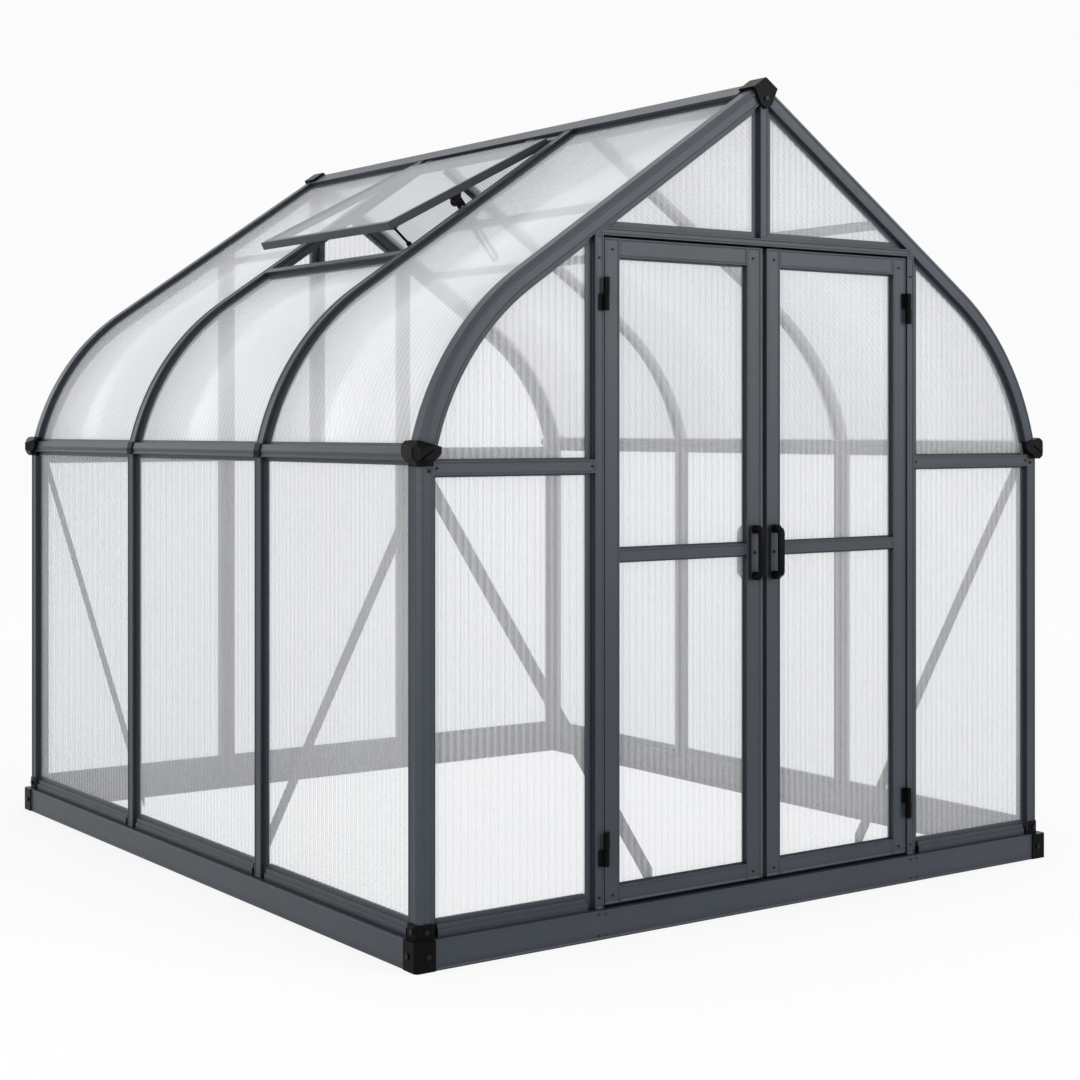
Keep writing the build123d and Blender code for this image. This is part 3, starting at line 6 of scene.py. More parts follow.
import bmesh
import bpy
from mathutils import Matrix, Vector

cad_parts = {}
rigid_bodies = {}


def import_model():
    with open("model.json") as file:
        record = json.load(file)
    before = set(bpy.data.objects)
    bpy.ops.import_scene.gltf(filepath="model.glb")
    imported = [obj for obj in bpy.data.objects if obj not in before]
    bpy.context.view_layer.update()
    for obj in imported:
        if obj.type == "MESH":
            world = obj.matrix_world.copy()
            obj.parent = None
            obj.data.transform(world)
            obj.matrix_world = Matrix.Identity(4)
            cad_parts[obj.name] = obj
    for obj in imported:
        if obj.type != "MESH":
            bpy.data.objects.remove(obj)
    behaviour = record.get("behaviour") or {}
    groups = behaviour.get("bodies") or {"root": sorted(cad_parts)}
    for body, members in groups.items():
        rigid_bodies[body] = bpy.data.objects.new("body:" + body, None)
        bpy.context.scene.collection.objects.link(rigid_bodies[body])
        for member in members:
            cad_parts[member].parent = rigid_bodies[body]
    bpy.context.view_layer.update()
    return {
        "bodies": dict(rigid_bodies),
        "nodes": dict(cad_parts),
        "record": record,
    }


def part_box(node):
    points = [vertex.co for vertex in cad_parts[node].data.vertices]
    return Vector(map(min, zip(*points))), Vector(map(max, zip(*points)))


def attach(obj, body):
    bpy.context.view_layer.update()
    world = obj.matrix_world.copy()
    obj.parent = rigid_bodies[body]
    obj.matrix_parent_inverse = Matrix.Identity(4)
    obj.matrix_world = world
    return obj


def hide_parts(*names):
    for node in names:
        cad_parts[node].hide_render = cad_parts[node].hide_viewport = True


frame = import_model()
nodes = frame["nodes"]
record = frame["record"]
body_of = {node: body for body, held in record["behaviour"]["bodies"].items() for node in held}
slot_of = {part["node"]: part["material_slot"] for part in record["subparts"]}

front, rear = Vector((0, -1, 0)), Vector((0, 1, 0))
left, right = Vector((-1, 0, 0)), Vector((1, 0, 0))
up, down = Vector((0, 0, 1)), Vector((0, 0, -1))

# Materials
flute = 0.022                # from web to web in a sheet
wave_rate = 20               # radians that a wave texture turns in a metre at scale 1
# Painted shade in crevices: ambient occlusion darkens the colour of coated metal
crevice_samples = 6
crevice_reach = 0.025
crevice_shade = 0.35
crevice_start, crevice_end = 0.35, 0.95
grain_depth = 0.0003
gloss_drift = 0.05
haze_drift = 0.04
line_haze = 0.05
scatter_back = 0.1


def new_material(name):
    """Material with its node tree and its shader."""
    mat = bpy.data.materials.new(name)
    mat.use_nodes = True
    tree = mat.node_tree
    return mat, tree, tree.nodes["Principled BSDF"]


def noise(tree, scale, detail=2.0, stretch=(1, 1, 1)):
    """Noise in the object's own metres."""
    place = tree.nodes.new("ShaderNodeTexCoord")
    stretched = tree.nodes.new("ShaderNodeMapping")
    stretched.inputs["Scale"].default_value = stretch
    tex = tree.nodes.new("ShaderNodeTexNoise")
    tex.inputs["Scale"].default_value = scale
    tex.inputs["Detail"].default_value = detail
    tree.links.new(place.outputs["Object"], stretched.inputs["Vector"])
    tree.links.new(stretched.outputs["Vector"], tex.inputs["Vector"])
    return tex.outputs["Fac"]


def ramp(tree, value, low, high, start=0.3, end=0.7):
    """Colour from low to high as a value goes from start to end."""
    node = tree.nodes.new("ShaderNodeValToRGB")
    node.color_ramp.elements[0].position = start
    node.color_ramp.elements[1].position = end
    node.color_ramp.elements[0].color = (*low, 1)
    node.color_ramp.elements[1].color = (*high, 1)
    tree.links.new(value, node.inputs["Fac"])
    return node.outputs["Color"]


def spread(tree, value, low, high):
    """A value from 0 to 1, mapped to the range from low to high."""
    node = tree.nodes.new("ShaderNodeMapRange")
    node.inputs["To Min"].default_value = low
    node.inputs["To Max"].default_value = high
    tree.links.new(value, node.inputs["Value"])
    return node.outputs["Result"]


def bump(tree, shader, value, strength):
    """Fine relief from a value."""
    node = tree.nodes.new("ShaderNodeBump")
    node.inputs["Strength"].default_value = strength
    node.inputs["Distance"].default_value = grain_depth
    tree.links.new(value, node.inputs["Height"])
    tree.links.new(node.outputs["Normal"], shader.inputs["Normal"])


def painted_shade_in_crevices(tree, colour):
    """Painted shade: colour darkened by ambient occlusion under lips, in grooves and between parts."""
    open_sky = tree.nodes.new("ShaderNodeAmbientOcclusion")
    open_sky.samples = crevice_samples
    open_sky.inputs["Distance"].default_value = crevice_reach
    darkest = (crevice_shade, crevice_shade, crevice_shade)
    shade = ramp(tree, open_sky.outputs["AO"], darkest, (1, 1, 1), crevice_start, crevice_end)
    mix = tree.nodes.new("ShaderNodeMix")
    mix.data_type = "RGBA"
    mix.blend_type = "MULTIPLY"
    mix.inputs["Factor"].default_value = 1.0
    tree.links.new(colour, mix.inputs["A"])
    tree.links.new(shade, mix.inputs["B"])
    return mix.outputs["Result"]


def coated_metal(name, low, high, rough, gloss):
    """Powder coat: a fine orange peel, with colour and gloss that drift a little."""
    mat, tree, shader = new_material(name)
    shader.inputs["Specular IOR Level"].default_value = gloss
    # the colour carries painted shade in crevices
    colour = painted_shade_in_crevices(tree, ramp(tree, noise(tree, 3.0, 3.0), low, high))
    tree.links.new(colour, shader.inputs["Base Color"])
    drift = spread(tree, noise(tree, 40.0), rough - 0.05, rough + 0.07)
    tree.links.new(drift, shader.inputs["Roughness"])
    bump(tree, shader, noise(tree, 900.0, 1.0), 0.1)
    return mat


def moulded(name, low, high, rough, gloss):
    """Moulded plastic or rubber with a fine grain."""
    mat, tree, shader = new_material(name)
    tree.links.new(ramp(tree, noise(tree, 9.0), low, high), shader.inputs["Base Color"])
    drift = spread(tree, noise(tree, 120.0), rough - 0.06, rough + 0.08)
    tree.links.new(drift, shader.inputs["Roughness"])
    shader.inputs["Specular IOR Level"].default_value = gloss
    bump(tree, shader, noise(tree, 1400.0, 1.0), 0.15)
    return mat


def bare_metal(name, low, high, rough, stretch):
    """Drawn metal with fine lines along the bar."""
    mat, tree, shader = new_material(name)
    lines = noise(tree, 60.0, 3.0, stretch)
    tree.links.new(ramp(tree, lines, low, high), shader.inputs["Base Color"])
    drift = spread(tree, lines, rough - 0.08, rough + 0.08)
    tree.links.new(drift, shader.inputs["Roughness"])
    shader.inputs["Metallic"].default_value = 1.0
    bump(tree, shader, lines, 0.08)
    return mat


def flute_lines(tree, across):
    """Even lines over a fluted sheet, one to a flute, across X or Y."""
    place = tree.nodes.new("ShaderNodeTexCoord")
    wave = tree.nodes.new("ShaderNodeTexWave")
    wave.bands_direction = across
    wave.inputs["Scale"].default_value = 2 * pi / (wave_rate * flute)
    tree.links.new(place.outputs["Object"], wave.inputs["Vector"])
    return wave.outputs["Fac"]


def film(name, tint, colour, share, rough, across=None):
    """One wall of a hazy sheet: part lets the view through, part is pale and scatters both ways."""
    mat, tree, shader = new_material(name)
    clear = tree.nodes.new("ShaderNodeBsdfTransparent")
    clear.inputs["Color"].default_value = (*tint, 1)
    shader.inputs["Base Color"].default_value = (*colour, 1)
    drift = spread(tree, noise(tree, 2.0), rough - gloss_drift, rough + gloss_drift)
    tree.links.new(drift, shader.inputs["Roughness"])
    glow = tree.nodes.new("ShaderNodeBsdfTranslucent")
    glow.inputs["Color"].default_value = (*colour, 1)
    pale = tree.nodes.new("ShaderNodeMixShader")
    pale.inputs["Fac"].default_value = scatter_back
    tree.links.new(shader.outputs["BSDF"], pale.inputs[1])
    tree.links.new(glow.outputs["BSDF"], pale.inputs[2])
    haze = spread(tree, noise(tree, 1.6, 1.0), share - haze_drift, share + haze_drift)
    if across:
        total = tree.nodes.new("ShaderNodeMath")
        total.operation = "ADD"
        tree.links.new(haze, total.inputs[0])
        lines = spread(tree, flute_lines(tree, across), -line_haze, line_haze)
        tree.links.new(lines, total.inputs[1])
        haze = total.outputs["Value"]
    mix = tree.nodes.new("ShaderNodeMixShader")
    tree.links.new(haze, mix.inputs["Fac"])
    tree.links.new(clear.outputs["BSDF"], mix.inputs[1])
    tree.links.new(pale.outputs["Shader"], mix.inputs[2])
    tree.links.new(mix.outputs["Shader"], tree.nodes["Material Output"].inputs["Surface"])
    return mat


skin_tint = (0.986, 0.989, 0.993)
skin_white = (0.885, 0.89, 0.9)
# whiter copy of the sheet colour for the roof: painted light on the roof
roof_white_painted_light = (0.93, 0.935, 0.945)
# greyer copy of the sheet colour for the webs: painted shade between the skins
web_grey_painted_shade = (0.66, 0.67, 0.685)
paint = coated_metal("slate_powder_coat", (0.034, 0.0415, 0.0525), (0.039, 0.047, 0.059), 0.33, 0.22)
black = moulded("black_moulding", (0.0032, 0.0032, 0.0034), (0.005, 0.005, 0.0052), 0.24, 0.035)
# black rubber of the seals, which also stands for the shade in the door gaps
rubber_and_gap_shade = moulded("black_rubber_and_gap_shade", (0.002, 0.002, 0.002), (0.003, 0.003, 0.003), 0.7, 0.05)
bright = bare_metal("drawn_metal", (0.045, 0.047, 0.05), (0.075, 0.078, 0.082), 0.4, (1, 1, 0.05))
dark = coated_metal("dark_hardware", (0.0035, 0.0036, 0.004), (0.0055, 0.0057, 0.0062), 0.34, 0.14)
# lighter copy of the slate paint for the meeting strip: a painted highlight on its nose
strip = coated_metal("strip_paint_painted_highlight", (0.13, 0.14, 0.155), (0.15, 0.16, 0.175), 0.3, 0.3)
end_skin = film("end_panel_skin", skin_tint, skin_white, 0.22, 0.3, "X")
side_skin = film("side_panel_skin", skin_tint, skin_white, 0.235, 0.3, "Y")
roof_skin = film("roof_panel_skin", skin_tint, roof_white_painted_light, 0.44, 0.24, "Y")
web = film("panel_web", skin_tint, web_grey_painted_shade, 0.08, 0.35)
pane = film("vent_pane", (0.96, 0.97, 0.98), (0.78, 0.8, 0.83), 0.3, 0.12)
materials = {
    "frame_paint": paint,
    "panel": end_skin,
    "vent_glass": pane,
    "bare_metal": bright,
    "dark_metal": dark,
    "black_plastic": black,
}
for node, obj in nodes.items():
    obj.data.materials.clear()
    obj.data.materials.append(materials[slot_of[node]])


# Building pieces
flat_crease = 12             # degrees, over which the shading of a rounded piece breaks
profile_crease = 28          # degrees, over which an edge is rounded
moulding_crease = 20
round_crease = 40
handle_crease = 50
weld = 1e-6
flat_turn = 0.5              # degrees between faces that count as one
same_facing = 0.999          # cosine of faces that look the same way
plane_depth = 0.0005
side_share = 0.05            # of a rib cap's normal along the ridge, at most
channel_rim = 0.004
channel_step = 0.0018
rib_cap_least, rib_cap_most = 0.034, 0.0375


def place_mesh(data, name, body, replaced=()):
    """Object that moves with a body and may stand for CAD nodes."""
    obj = bpy.data.objects.new(name, data)
    bpy.context.collection.objects.link(obj)
    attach(obj, body)
    if replaced:
        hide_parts(*replaced)
    return obj


def faced_mesh(name, verts, faces, mats, kinds):
    """Mesh of closed shells that all face outwards, with a material for each kind of face."""
    data = bpy.data.meshes.new(name)
    data.from_pydata(verts, [], faces)
    for mat in mats:
        data.materials.append(mat)
    data.polygons.foreach_set("material_index", kinds)
    bm = bmesh.new()
    bm.from_mesh(data)
    bmesh.ops.recalc_face_normals(bm, faces=bm.faces)
    bm.to_mesh(data)
    bm.free()
    return data


def shaded_mesh(bm, name, mat, crease):
    """Mesh of a bmesh, smooth except over creases."""
    bmesh.ops.recalc_face_normals(bm, faces=bm.faces)
    for face in bm.faces:
        face.smooth = True
    for edge in bm.edges:
        edge.smooth = edge.is_manifold and edge.calc_face_angle() < radians(crease)
    data = bpy.data.meshes.new(name)
    bm.to_mesh(data)
    bm.free()
    data.materials.append(mat)
    return data


def outermost(bm, normal):
    """Faces of the outer plane on one side."""
    facing = [face for face in bm.faces if face.normal.dot(normal) > same_facing]
    edge = max(face.calc_center_median().dot(normal) for face in facing)
    return [face for face in facing if face.calc_center_median().dot(normal) > edge - plane_depth]


def rib_caps(bm):
    """Outer faces of bent ribs, which are as wide as the cap."""
    caps = []
    for face in bm.faces:
        low, high = span([vert.co for vert in face.verts])
        outward = face.normal.x * (low.x + high.x) + face.normal.z > 0
        level = abs(face.normal.y) < side_share
        if outward and level and rib_cap_least < high.y - low.y < rib_cap_most:
            caps.append(face)
    return caps


def sink(bm, faces, rim, step):
    """Shallow channel in a face, with a rim left standing along its edges."""
    bmesh.ops.inset_region(bm, faces=faces, thickness=rim, use_even_offset=True)
    bmesh.ops.inset_region(bm, faces=faces, thickness=step, depth=-step, use_even_offset=True)


def softened(node, width, crease, sides=()):
    """Copy of a node with its edges rounded and its caps channelled, in place of the plain one."""
    bm = bmesh.new()
    bm.from_mesh(nodes[node].data)
    bmesh.ops.remove_doubles(bm, verts=bm.verts, dist=weld)
    bmesh.ops.dissolve_limit(bm, angle_limit=radians(flat_turn), verts=bm.verts, edges=bm.edges)
    for normal in sides:
        sink(bm, outermost(bm, normal), channel_rim, channel_step)
    if node.startswith("roof_ribs"):
        sink(bm, rib_caps(bm), channel_rim, channel_step)
    sharp = [edge for edge in bm.edges if edge.is_manifold and edge.calc_face_angle() > radians(crease)]
    bmesh.ops.bevel(
        bm, geom=sharp, offset=width, offset_type="OFFSET", segments=1, profile=0.5, affect="EDGES"
    )
    slot = slot_of[node]
    data = shaded_mesh(bm, node + "_soft", materials[slot], flat_crease)
    return place_mesh(data, node + "_soft", body_of[node], [node])


def solids(node):
    """Vertex sets of the separate solids of a node."""
    bm = bmesh.new()
    bm.from_mesh(nodes[node].data)
    bmesh.ops.remove_doubles(bm, verts=bm.verts, dist=weld)
    seen = set()
    found = []
    for start in bm.verts:
        if start in seen:
            continue
        group, todo = [], [start]
        seen.add(start)
        while todo:
            vert = todo.pop()
            group.append(vert.co.copy())
            for edge in vert.link_edges:
                other = edge.other_vert(vert)
                if other not in seen:
                    seen.add(other)
                    todo.append(other)
        found.append(group)
    bm.free()
    return found


def span(points):
    """Lowest and highest corner of a set of points."""
    low = Vector([min(p[axis] for p in points) for axis in range(3)])
    high = Vector([max(p[axis] for p in points) for axis in range(3)])
    return low, high


# Twin-wall panels: two skins and the webs between them
digits = 6                   # of a metre, in points that are compared
no_turn = 1e-12
hair = 1e-9
end_slack = 1e-5
sheet_thickness = 0.006
pair_slack = 2e-5            # in the distance between the two lines of a sheet
shortest_web = 0.004
web_half = 0.0003
web_gap = 0.0002             # from a web to a skin


def hull_2d(points):
    """Convex outline of flat points."""
    points = sorted(set(points))

    def half(run):
        chain = []
        for p in run:
            while len(chain) > 1:
                (ax, ay), (bx, by) = chain[-2], chain[-1]
                if (bx - ax) * (p[1] - ay) - (by - ay) * (p[0] - ax) > no_turn:
                    break
                chain.pop()
            chain.append(p)
        return chain[:-1]

    return half(points) + half(points[::-1])


def reach(outline, u):
    """Lowest and highest v of an outline at u."""
    hits = []
    for (u0, v0), (u1, v1) in zip(outline, outline[1:] + outline[:1]):
        if min(u0, u1) - hair <= u <= max(u0, u1) + hair and abs(u1 - u0) > hair:
            hits.append(v0 + (v1 - v0) * (u - u0) / (u1 - u0))
    return min(hits), max(hits)


def flat_panels(node, thin, skin):
    """Flat twin-wall sheets for a node, thin across axis 0 or 1, with upright webs."""
    wide = 1 - thin
    verts, faces, kinds = [], [], []

    def point(u, v, d):
        place = [0, 0, v]
        place[wide], place[thin] = u, d
        verts.append(tuple(place))
        return len(verts) - 1

    def shell(first, second, kind):
        """Closed shell between two outlines, whose faces are of one kind, with its edges as web."""
        faces.extend([first, second[::-1]])
        kinds.extend([kind, kind])
        for i in range(len(first)):
            j = (i + 1) % len(first)
            faces.append([first[i], first[j], second[j], second[i]])
            kinds.append(1)

    for group in solids(node):
        low, high = span(group)
        d0, d1 = low[thin], high[thin]
        outline = hull_2d([(round(p[wide], digits), round(p[2], digits)) for p in group])
        shell([point(u, v, d0) for u, v in outline], [point(u, v, d1) for u, v in outline], 0)
        u0, u1 = low[wide], high[wide]
        count = max(1, round((u1 - u0) / flute))
        for k in range(1, count):
            u = u0 + (u1 - u0) * k / count
            foot, head = reach(outline, u)
            if head - foot > shortest_web:
                bottom, top = foot + web_gap, head - web_gap
                near, far = d0 + web_gap, d1 - web_gap
                corners = [(bottom, near), (top, near), (top, far), (bottom, far)]
                first = [point(u - web_half, v, d) for v, d in corners]
                second = [point(u + web_half, v, d) for v, d in corners]
                shell(first, second, 1)
    data = faced_mesh(node + "_twinwall", verts, faces, [skin, web], kinds)
    return place_mesh(data, node + "_twinwall", body_of[node], [node])


def sheet_lines(edge, side):
    """Outer and inner line of a bent sheet's section, each from the eave up, with matched points."""

    def off_thickness(p, q):
        return abs(hypot(q[0] - p[0], q[1] - p[1]) - sheet_thickness)

    pairs = []
    for p in edge:
        others = [q for q in edge if q != p]
        twin = min(others, key=lambda q: off_thickness(p, q))
        if off_thickness(p, twin) < pair_slack:
            pair = (p, twin) if p[0] * side > twin[0] * side else (twin, p)
            if pair not in pairs:
                pairs.append(pair)
    pairs.sort(key=lambda pair: pair[0][1])
    return [p[0] for p in pairs], [p[1] for p in pairs]


def between(p, q, share):
    """Point a share of the way from p to q."""
    return tuple(a + (b - a) * share for a, b in zip(p, q))


def bent_panels(node):
    """Roof sheets bent along the slope, with webs that run up the slope."""
    verts, faces, kinds = [], [], []

    def row(profile, y):
        start = len(verts)
        verts.extend((x, y, z) for x, z in profile)
        return start

    def ladder(a, b, steps, kind):
        for i in range(steps):
            faces.append([a + i, b + i, b + i + 1, a + i + 1])
            kinds.append(kind)

    def closed_strip(outer, inner, y0, y1, face_kind):
        """Faces all round a strip between an outer and an inner line, from y0 to y1."""
        steps = len(outer) - 1
        a, b = row(outer, y0), row(outer, y1)
        c, d = row(inner, y0), row(inner, y1)
        ladder(a, b, steps, face_kind)
        ladder(d, c, steps, face_kind)
        ladder(c, a, steps, 1)
        ladder(b, d, steps, 1)
        faces.extend([[a, c, d, b], [a + steps, b + steps, d + steps, c + steps]])
        kinds.extend([1, 1])

    for group in solids(node):
        low, high = span(group)
        y0, y1 = low.y, high.y
        edge = sorted({(round(p.x, digits), round(p.z, digits)) for p in group if p.y < y0 + end_slack})
        side = -1 if low.x + high.x < 0 else 1
        outer, inner = sheet_lines(edge, side)
        closed_strip(outer, inner, y0, y1, 0)
        share = web_gap / sheet_thickness
        web_outer = [between(p, q, share) for p, q in zip(outer, inner)]
        web_inner = [between(q, p, share) for p, q in zip(outer, inner)]
        for line in (web_outer, web_inner):
            line[0] = between(line[0], line[1], share)
            line[-1] = between(line[-1], line[-2], share)
        count = max(1, round((y1 - y0) / flute))
        for k in range(1, count):
            y = y0 + (y1 - y0) * k / count
            closed_strip(web_outer, web_inner, y - web_half, y + web_half, 1)
    data = faced_mesh(node + "_twinwall", verts, faces, [roof_skin, web], kinds)
    for poly in data.polygons:
        poly.use_smooth = poly.material_index == 0
    return place_mesh(data, node + "_twinwall", body_of[node], [node])


for name in ("side_panels_left", "side_panels_right"):
    flat_panels(name, 0, side_skin)
for name in (
    "front_lower_panels",
    "front_upper_panels",
    "rear_lower_panels",
    "rear_upper_panels",
    "door_left_panes",
    "door_right_panes",
):
    flat_panels(name, 1, end_skin)
for name in ("roof_panels_left", "roof_panels_right", "roof_panels_vent_bay"):
    bent_panels(name)

# Profiles, connectors and hardware with their edges rounded
channelled = {
    "corner_posts": (front, rear, left, right),
    "side_posts": (left, right),
    "eave_rail_left": (left,),
    "eave_rail_right": (right,),
    "gable_arch_front": (front,),
    "gable_arch_rear": (rear,),
    "front_rails": (front,),
    "rear_rails": (rear,),
    "rear_studs": (rear,),
    "king_posts": (front, rear),
    "door_header": (front,),
    "door_jambs": (front,),
    "door_left_stiles": (front,),
    "door_left_rails": (front,),
    "door_right_stiles": (front,),
    "door_right_rails": (front,),
    "base_rails_end": (front, rear),
    "base_rails_side": (left, right),
}
edge_width = {"frame_paint": 0.0007, "bare_metal": 0.0004, "dark_metal": 0.0005, "vent_glass": 0.0006}
moulding_width = {
    "base_corners": 0.0012,
    "eave_corners": 0.0006,
    "ridge_caps": 0.0014,
    "eave_clips": 0.0009,
    "vent_knob": 0.0008,
    "vent_lever": 0.0007,
    "door_hinges_fixed": 0.0005,
    "door_left_hinges": 0.0005,
    "door_right_hinges": 0.0005,
}
for node, slot in slot_of.items():
    if slot in edge_width and node != "door_meeting_strip":
        softened(node, edge_width[slot], profile_crease, channelled.get(node, ()))
for node, width in moulding_width.items():
    softened(node, width, moulding_crease)


# Pull handles: a rounded D on two collars, over a plate with a screw
grip_half = 0.006
grip_half_width = 0.011
plate_margin = 0.005
plate_thickness = 0.003
handle_turn = 0.012
collar_radius = 0.012
collar_height = 0.02
collar_shape = ((plate_thickness / 2, 1.0), (collar_height, 1.0), (collar_height * 1.15, 0.85))
grip_power = 0.7             # below 1, a squarer oval
ring_points = 16
corner_steps = 5
handle_screw = 0.0048


def arc_points(centre, radius, start, end, steps=8):
    """Points of an arc, from one angle in degrees to another."""
    angles = [radians(start + (end - start) * k / steps) for k in range(steps + 1)]
    return [(centre[0] + radius * cos(a), centre[1] + radius * sin(a)) for a in angles]


def skin_rings(bm, rings):
    """Closed skin over rings of points, in order."""
    made = [[bm.verts.new(p) for p in ring] for ring in rings]
    count = len(made[0])
    for first, second in zip(made, made[1:]):
        for i in range(count):
            j = (i + 1) % count
            bm.faces.new([first[i], first[j], second[j], second[i]])
    bm.faces.new(made[0][::-1])
    bm.faces.new(made[-1])


def prism(bm, section, low_z, high_z):
    """Upright bar with a level section."""
    skin_rings(bm, [[(x, y, z) for x, y in section] for z in (low_z, high_z)])


def oval(turn, half_width, half_height):
    """Point of a squarish oval at an angle."""
    u, v = cos(turn), sin(turn)
    return copysign(half_width * abs(u) ** grip_power, u), copysign(half_height * abs(v) ** grip_power, v)


def rounded_box(bm, low, high, radius):
    """Box with its four edges along Y rounded."""
    corners = [
        ((high.x - radius, high.z - radius), 0),
        ((low.x + radius, high.z - radius), 90),
        ((low.x + radius, low.z + radius), 180),
        ((high.x - radius, low.z + radius), 270),
    ]
    outline = []
    for centre, start in corners:
        outline += arc_points(centre, radius, start, start + 90, corner_steps)
    skin_rings(bm, [[(x, y, z) for x, z in outline] for y in (low.y, high.y)])


def pull_handle(bm, plate_bm, low, high, out):
    """Handle and plate inside the box of a CAD one, projecting towards out along Y."""
    middle = (low + high) / 2
    face = high.y if out < 0 else low.y
    half = (high.z - low.z) / 2 - plate_margin
    far = high.y - low.y - grip_half
    top = half - grip_half
    path = [(plate_thickness / 2, top)]
    path += arc_points((far - handle_turn, top - handle_turn), handle_turn, 90, 0)
    path += arc_points((far - handle_turn, handle_turn - top), handle_turn, 0, -90)
    path.append((plate_thickness / 2, -top))
    rings = []
    for k, (d, z) in enumerate(path):
        (d0, z0), (d1, z1) = path[max(k - 1, 0)], path[min(k + 1, len(path) - 1)]
        length = hypot(d1 - d0, z1 - z0)
        across = (-(z1 - z0) / length, (d1 - d0) / length)
        ring = []
        for i in range(ring_points):
            u, v = oval(2 * pi * i / ring_points, grip_half_width, grip_half)
            ring.append((middle.x + u, face + out * (d + v * across[0]), middle.z + z + v * across[1]))
        rings.append(ring)
    skin_rings(bm, rings)
    for end in (-top, top):
        collar = []
        for d, share in collar_shape:
            circle = arc_points((middle.x, middle.z + end), collar_radius * share, 0, 360, ring_points)
            collar.append([(x, face + out * d, z) for x, z in circle[:-1]])
        skin_rings(bm, collar)
    plate_face = face + out * plate_thickness
    plate_low = Vector((low.x, min(face, plate_face), low.z))
    plate_high = Vector((high.x, max(face, plate_face), high.z))
    rounded_box(plate_bm, plate_low, plate_high, plate_margin)
    return Vector((middle.x, plate_face, middle.z))


screws = {body: [] for body in frame["bodies"]}
for side in ("left", "right"):
    node = f"door_{side}_handles"
    bm = bmesh.new()
    plate_bm = bmesh.new()
    for group in solids(node):
        low, high = span(group)
        outside = low.y + high.y < sum(v.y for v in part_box(f"door_{side}_stiles"))
        seat = pull_handle(bm, plate_bm, low, high, -1 if outside else 1)
        screws[f"door_{side}"].append((seat, front if outside else rear, handle_screw))
    data = shaded_mesh(bm, node + "_moulded", black, handle_crease)
    place_mesh(data, node + "_moulded", f"door_{side}", [node])
    data = shaded_mesh(plate_bm, node + "_plates", paint, round_crease)
    place_mesh(data, node + "_plates", f"door_{side}")

# Meeting strip: a round nose on a flange in a lighter copy of the slate paint, as painted highlight, with
# a black seal on either side that also darkens the gaps as painted shade
strip_low, strip_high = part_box("door_meeting_strip")
nose_radius = 0.0034
nose_steps = 10
flange = 0.004
nose_x = (strip_low.x + strip_high.x) / 2
lip_y = strip_high.y - flange
section = [(strip_low.x, strip_high.y), (strip_high.x, strip_high.y), (strip_high.x, lip_y)]
section.append((nose_x + nose_radius, lip_y))
section += arc_points((nose_x, strip_low.y + nose_radius), nose_radius, 0, -180, nose_steps)
section += [(nose_x - nose_radius, lip_y), (strip_low.x, lip_y)]
bm = bmesh.new()
prism(bm, section, strip_low.z, strip_high.z)
data = shaded_mesh(bm, "door_meeting_strip_nosed", strip, round_crease)
place_mesh(data, "door_meeting_strip_nosed", "door_left", ["door_meeting_strip"])
# black seals beside the nose, which also stand for the shade in the gaps
bm = bmesh.new()
for edge_x, towards in ((strip_low.x, -1), (strip_high.x, 1)):
    root_x = nose_x + towards * nose_radius
    lip = [(edge_x, lip_y), (root_x, lip_y), (root_x, lip_y - flange / 2), (edge_x, lip_y - flange)]
    prism(bm, lip, strip_low.z, strip_high.z)
data = shaded_mesh(bm, "door_meeting_seal_and_gap_shade", rubber_and_gap_shade, round_crease)
place_mesh(data, "door_meeting_seal_and_gap_shade", "door_left")

# Black end caps on the door stiles
cap_rise = 0.0035
cap_inset = 0.001
cap_taper = 0.9
for side in ("left", "right"):
    bm = bmesh.new()
    for group in solids(f"door_{side}_stiles"):
        low, high = span(group)
        middle = (low + high) / 2
        half_x = (high.x - low.x) / 2 - cap_inset
        half_y = (high.y - low.y) / 2 - cap_inset
        for seat_z, rise in ((high.z, cap_rise), (low.z, -cap_rise)):
            rings = []
            for step, share in ((0, 1.0), (0.5, 1.0), (1, cap_taper)):
                x, y = half_x * share, half_y * share
                corners = ((-x, -y), (x, -y), (x, y), (-x, y))
                rings.append([(middle.x + dx, middle.y + dy, seat_z + rise * step) for dx, dy in corners])
            skin_rings(bm, rings)
    data = shaded_mesh(bm, f"door_{side}_stile_caps", black, moulding_crease)
    place_mesh(data, f"door_{side}_stile_caps", f"door_{side}")

# Screws, as dark domed heads with a socket
head_profile = ((1.0, 0.0), (0.96, 0.3), (0.72, 0.52), (0.42, 0.58), (0.34, 0.25), (0.1, 0.25))
head_points = 12
small_screw = 0.003
post_screw = 0.004
base_screw = 0.0022
rail_inset = 0.010
post_inset, post_drop = 0.033, 0.012
jamb_offset = 0.018          # from the edge of the door to the middle of the jamb
jamb_rise, jamb_drop = 0.03, 0.06
base_rise, base_drop, base_step = 0.012, 0.010, 0.012
stile_rise, stile_drop = 0.022, 0.03

wall_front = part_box("front_rails")[0].y
wall_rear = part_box("rear_rails")[1].y
for node, normal, y in (("front_rails", front, wall_front), ("rear_rails", rear, wall_rear)):
    for group in solids(node):
        low, high = span(group)
        for x in (low.x + rail_inset, high.x - rail_inset):
            screws["frame"].append((Vector((x, y, (low.z + high.z) / 2)), normal, small_screw))

post_low, post_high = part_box("corner_posts")
for x in (post_low.x + post_inset, post_high.x - post_inset):
    for normal, y in ((front, wall_front), (rear, wall_rear)):
        screws["frame"].append((Vector((x, y, post_high.z - post_drop)), normal, post_screw))

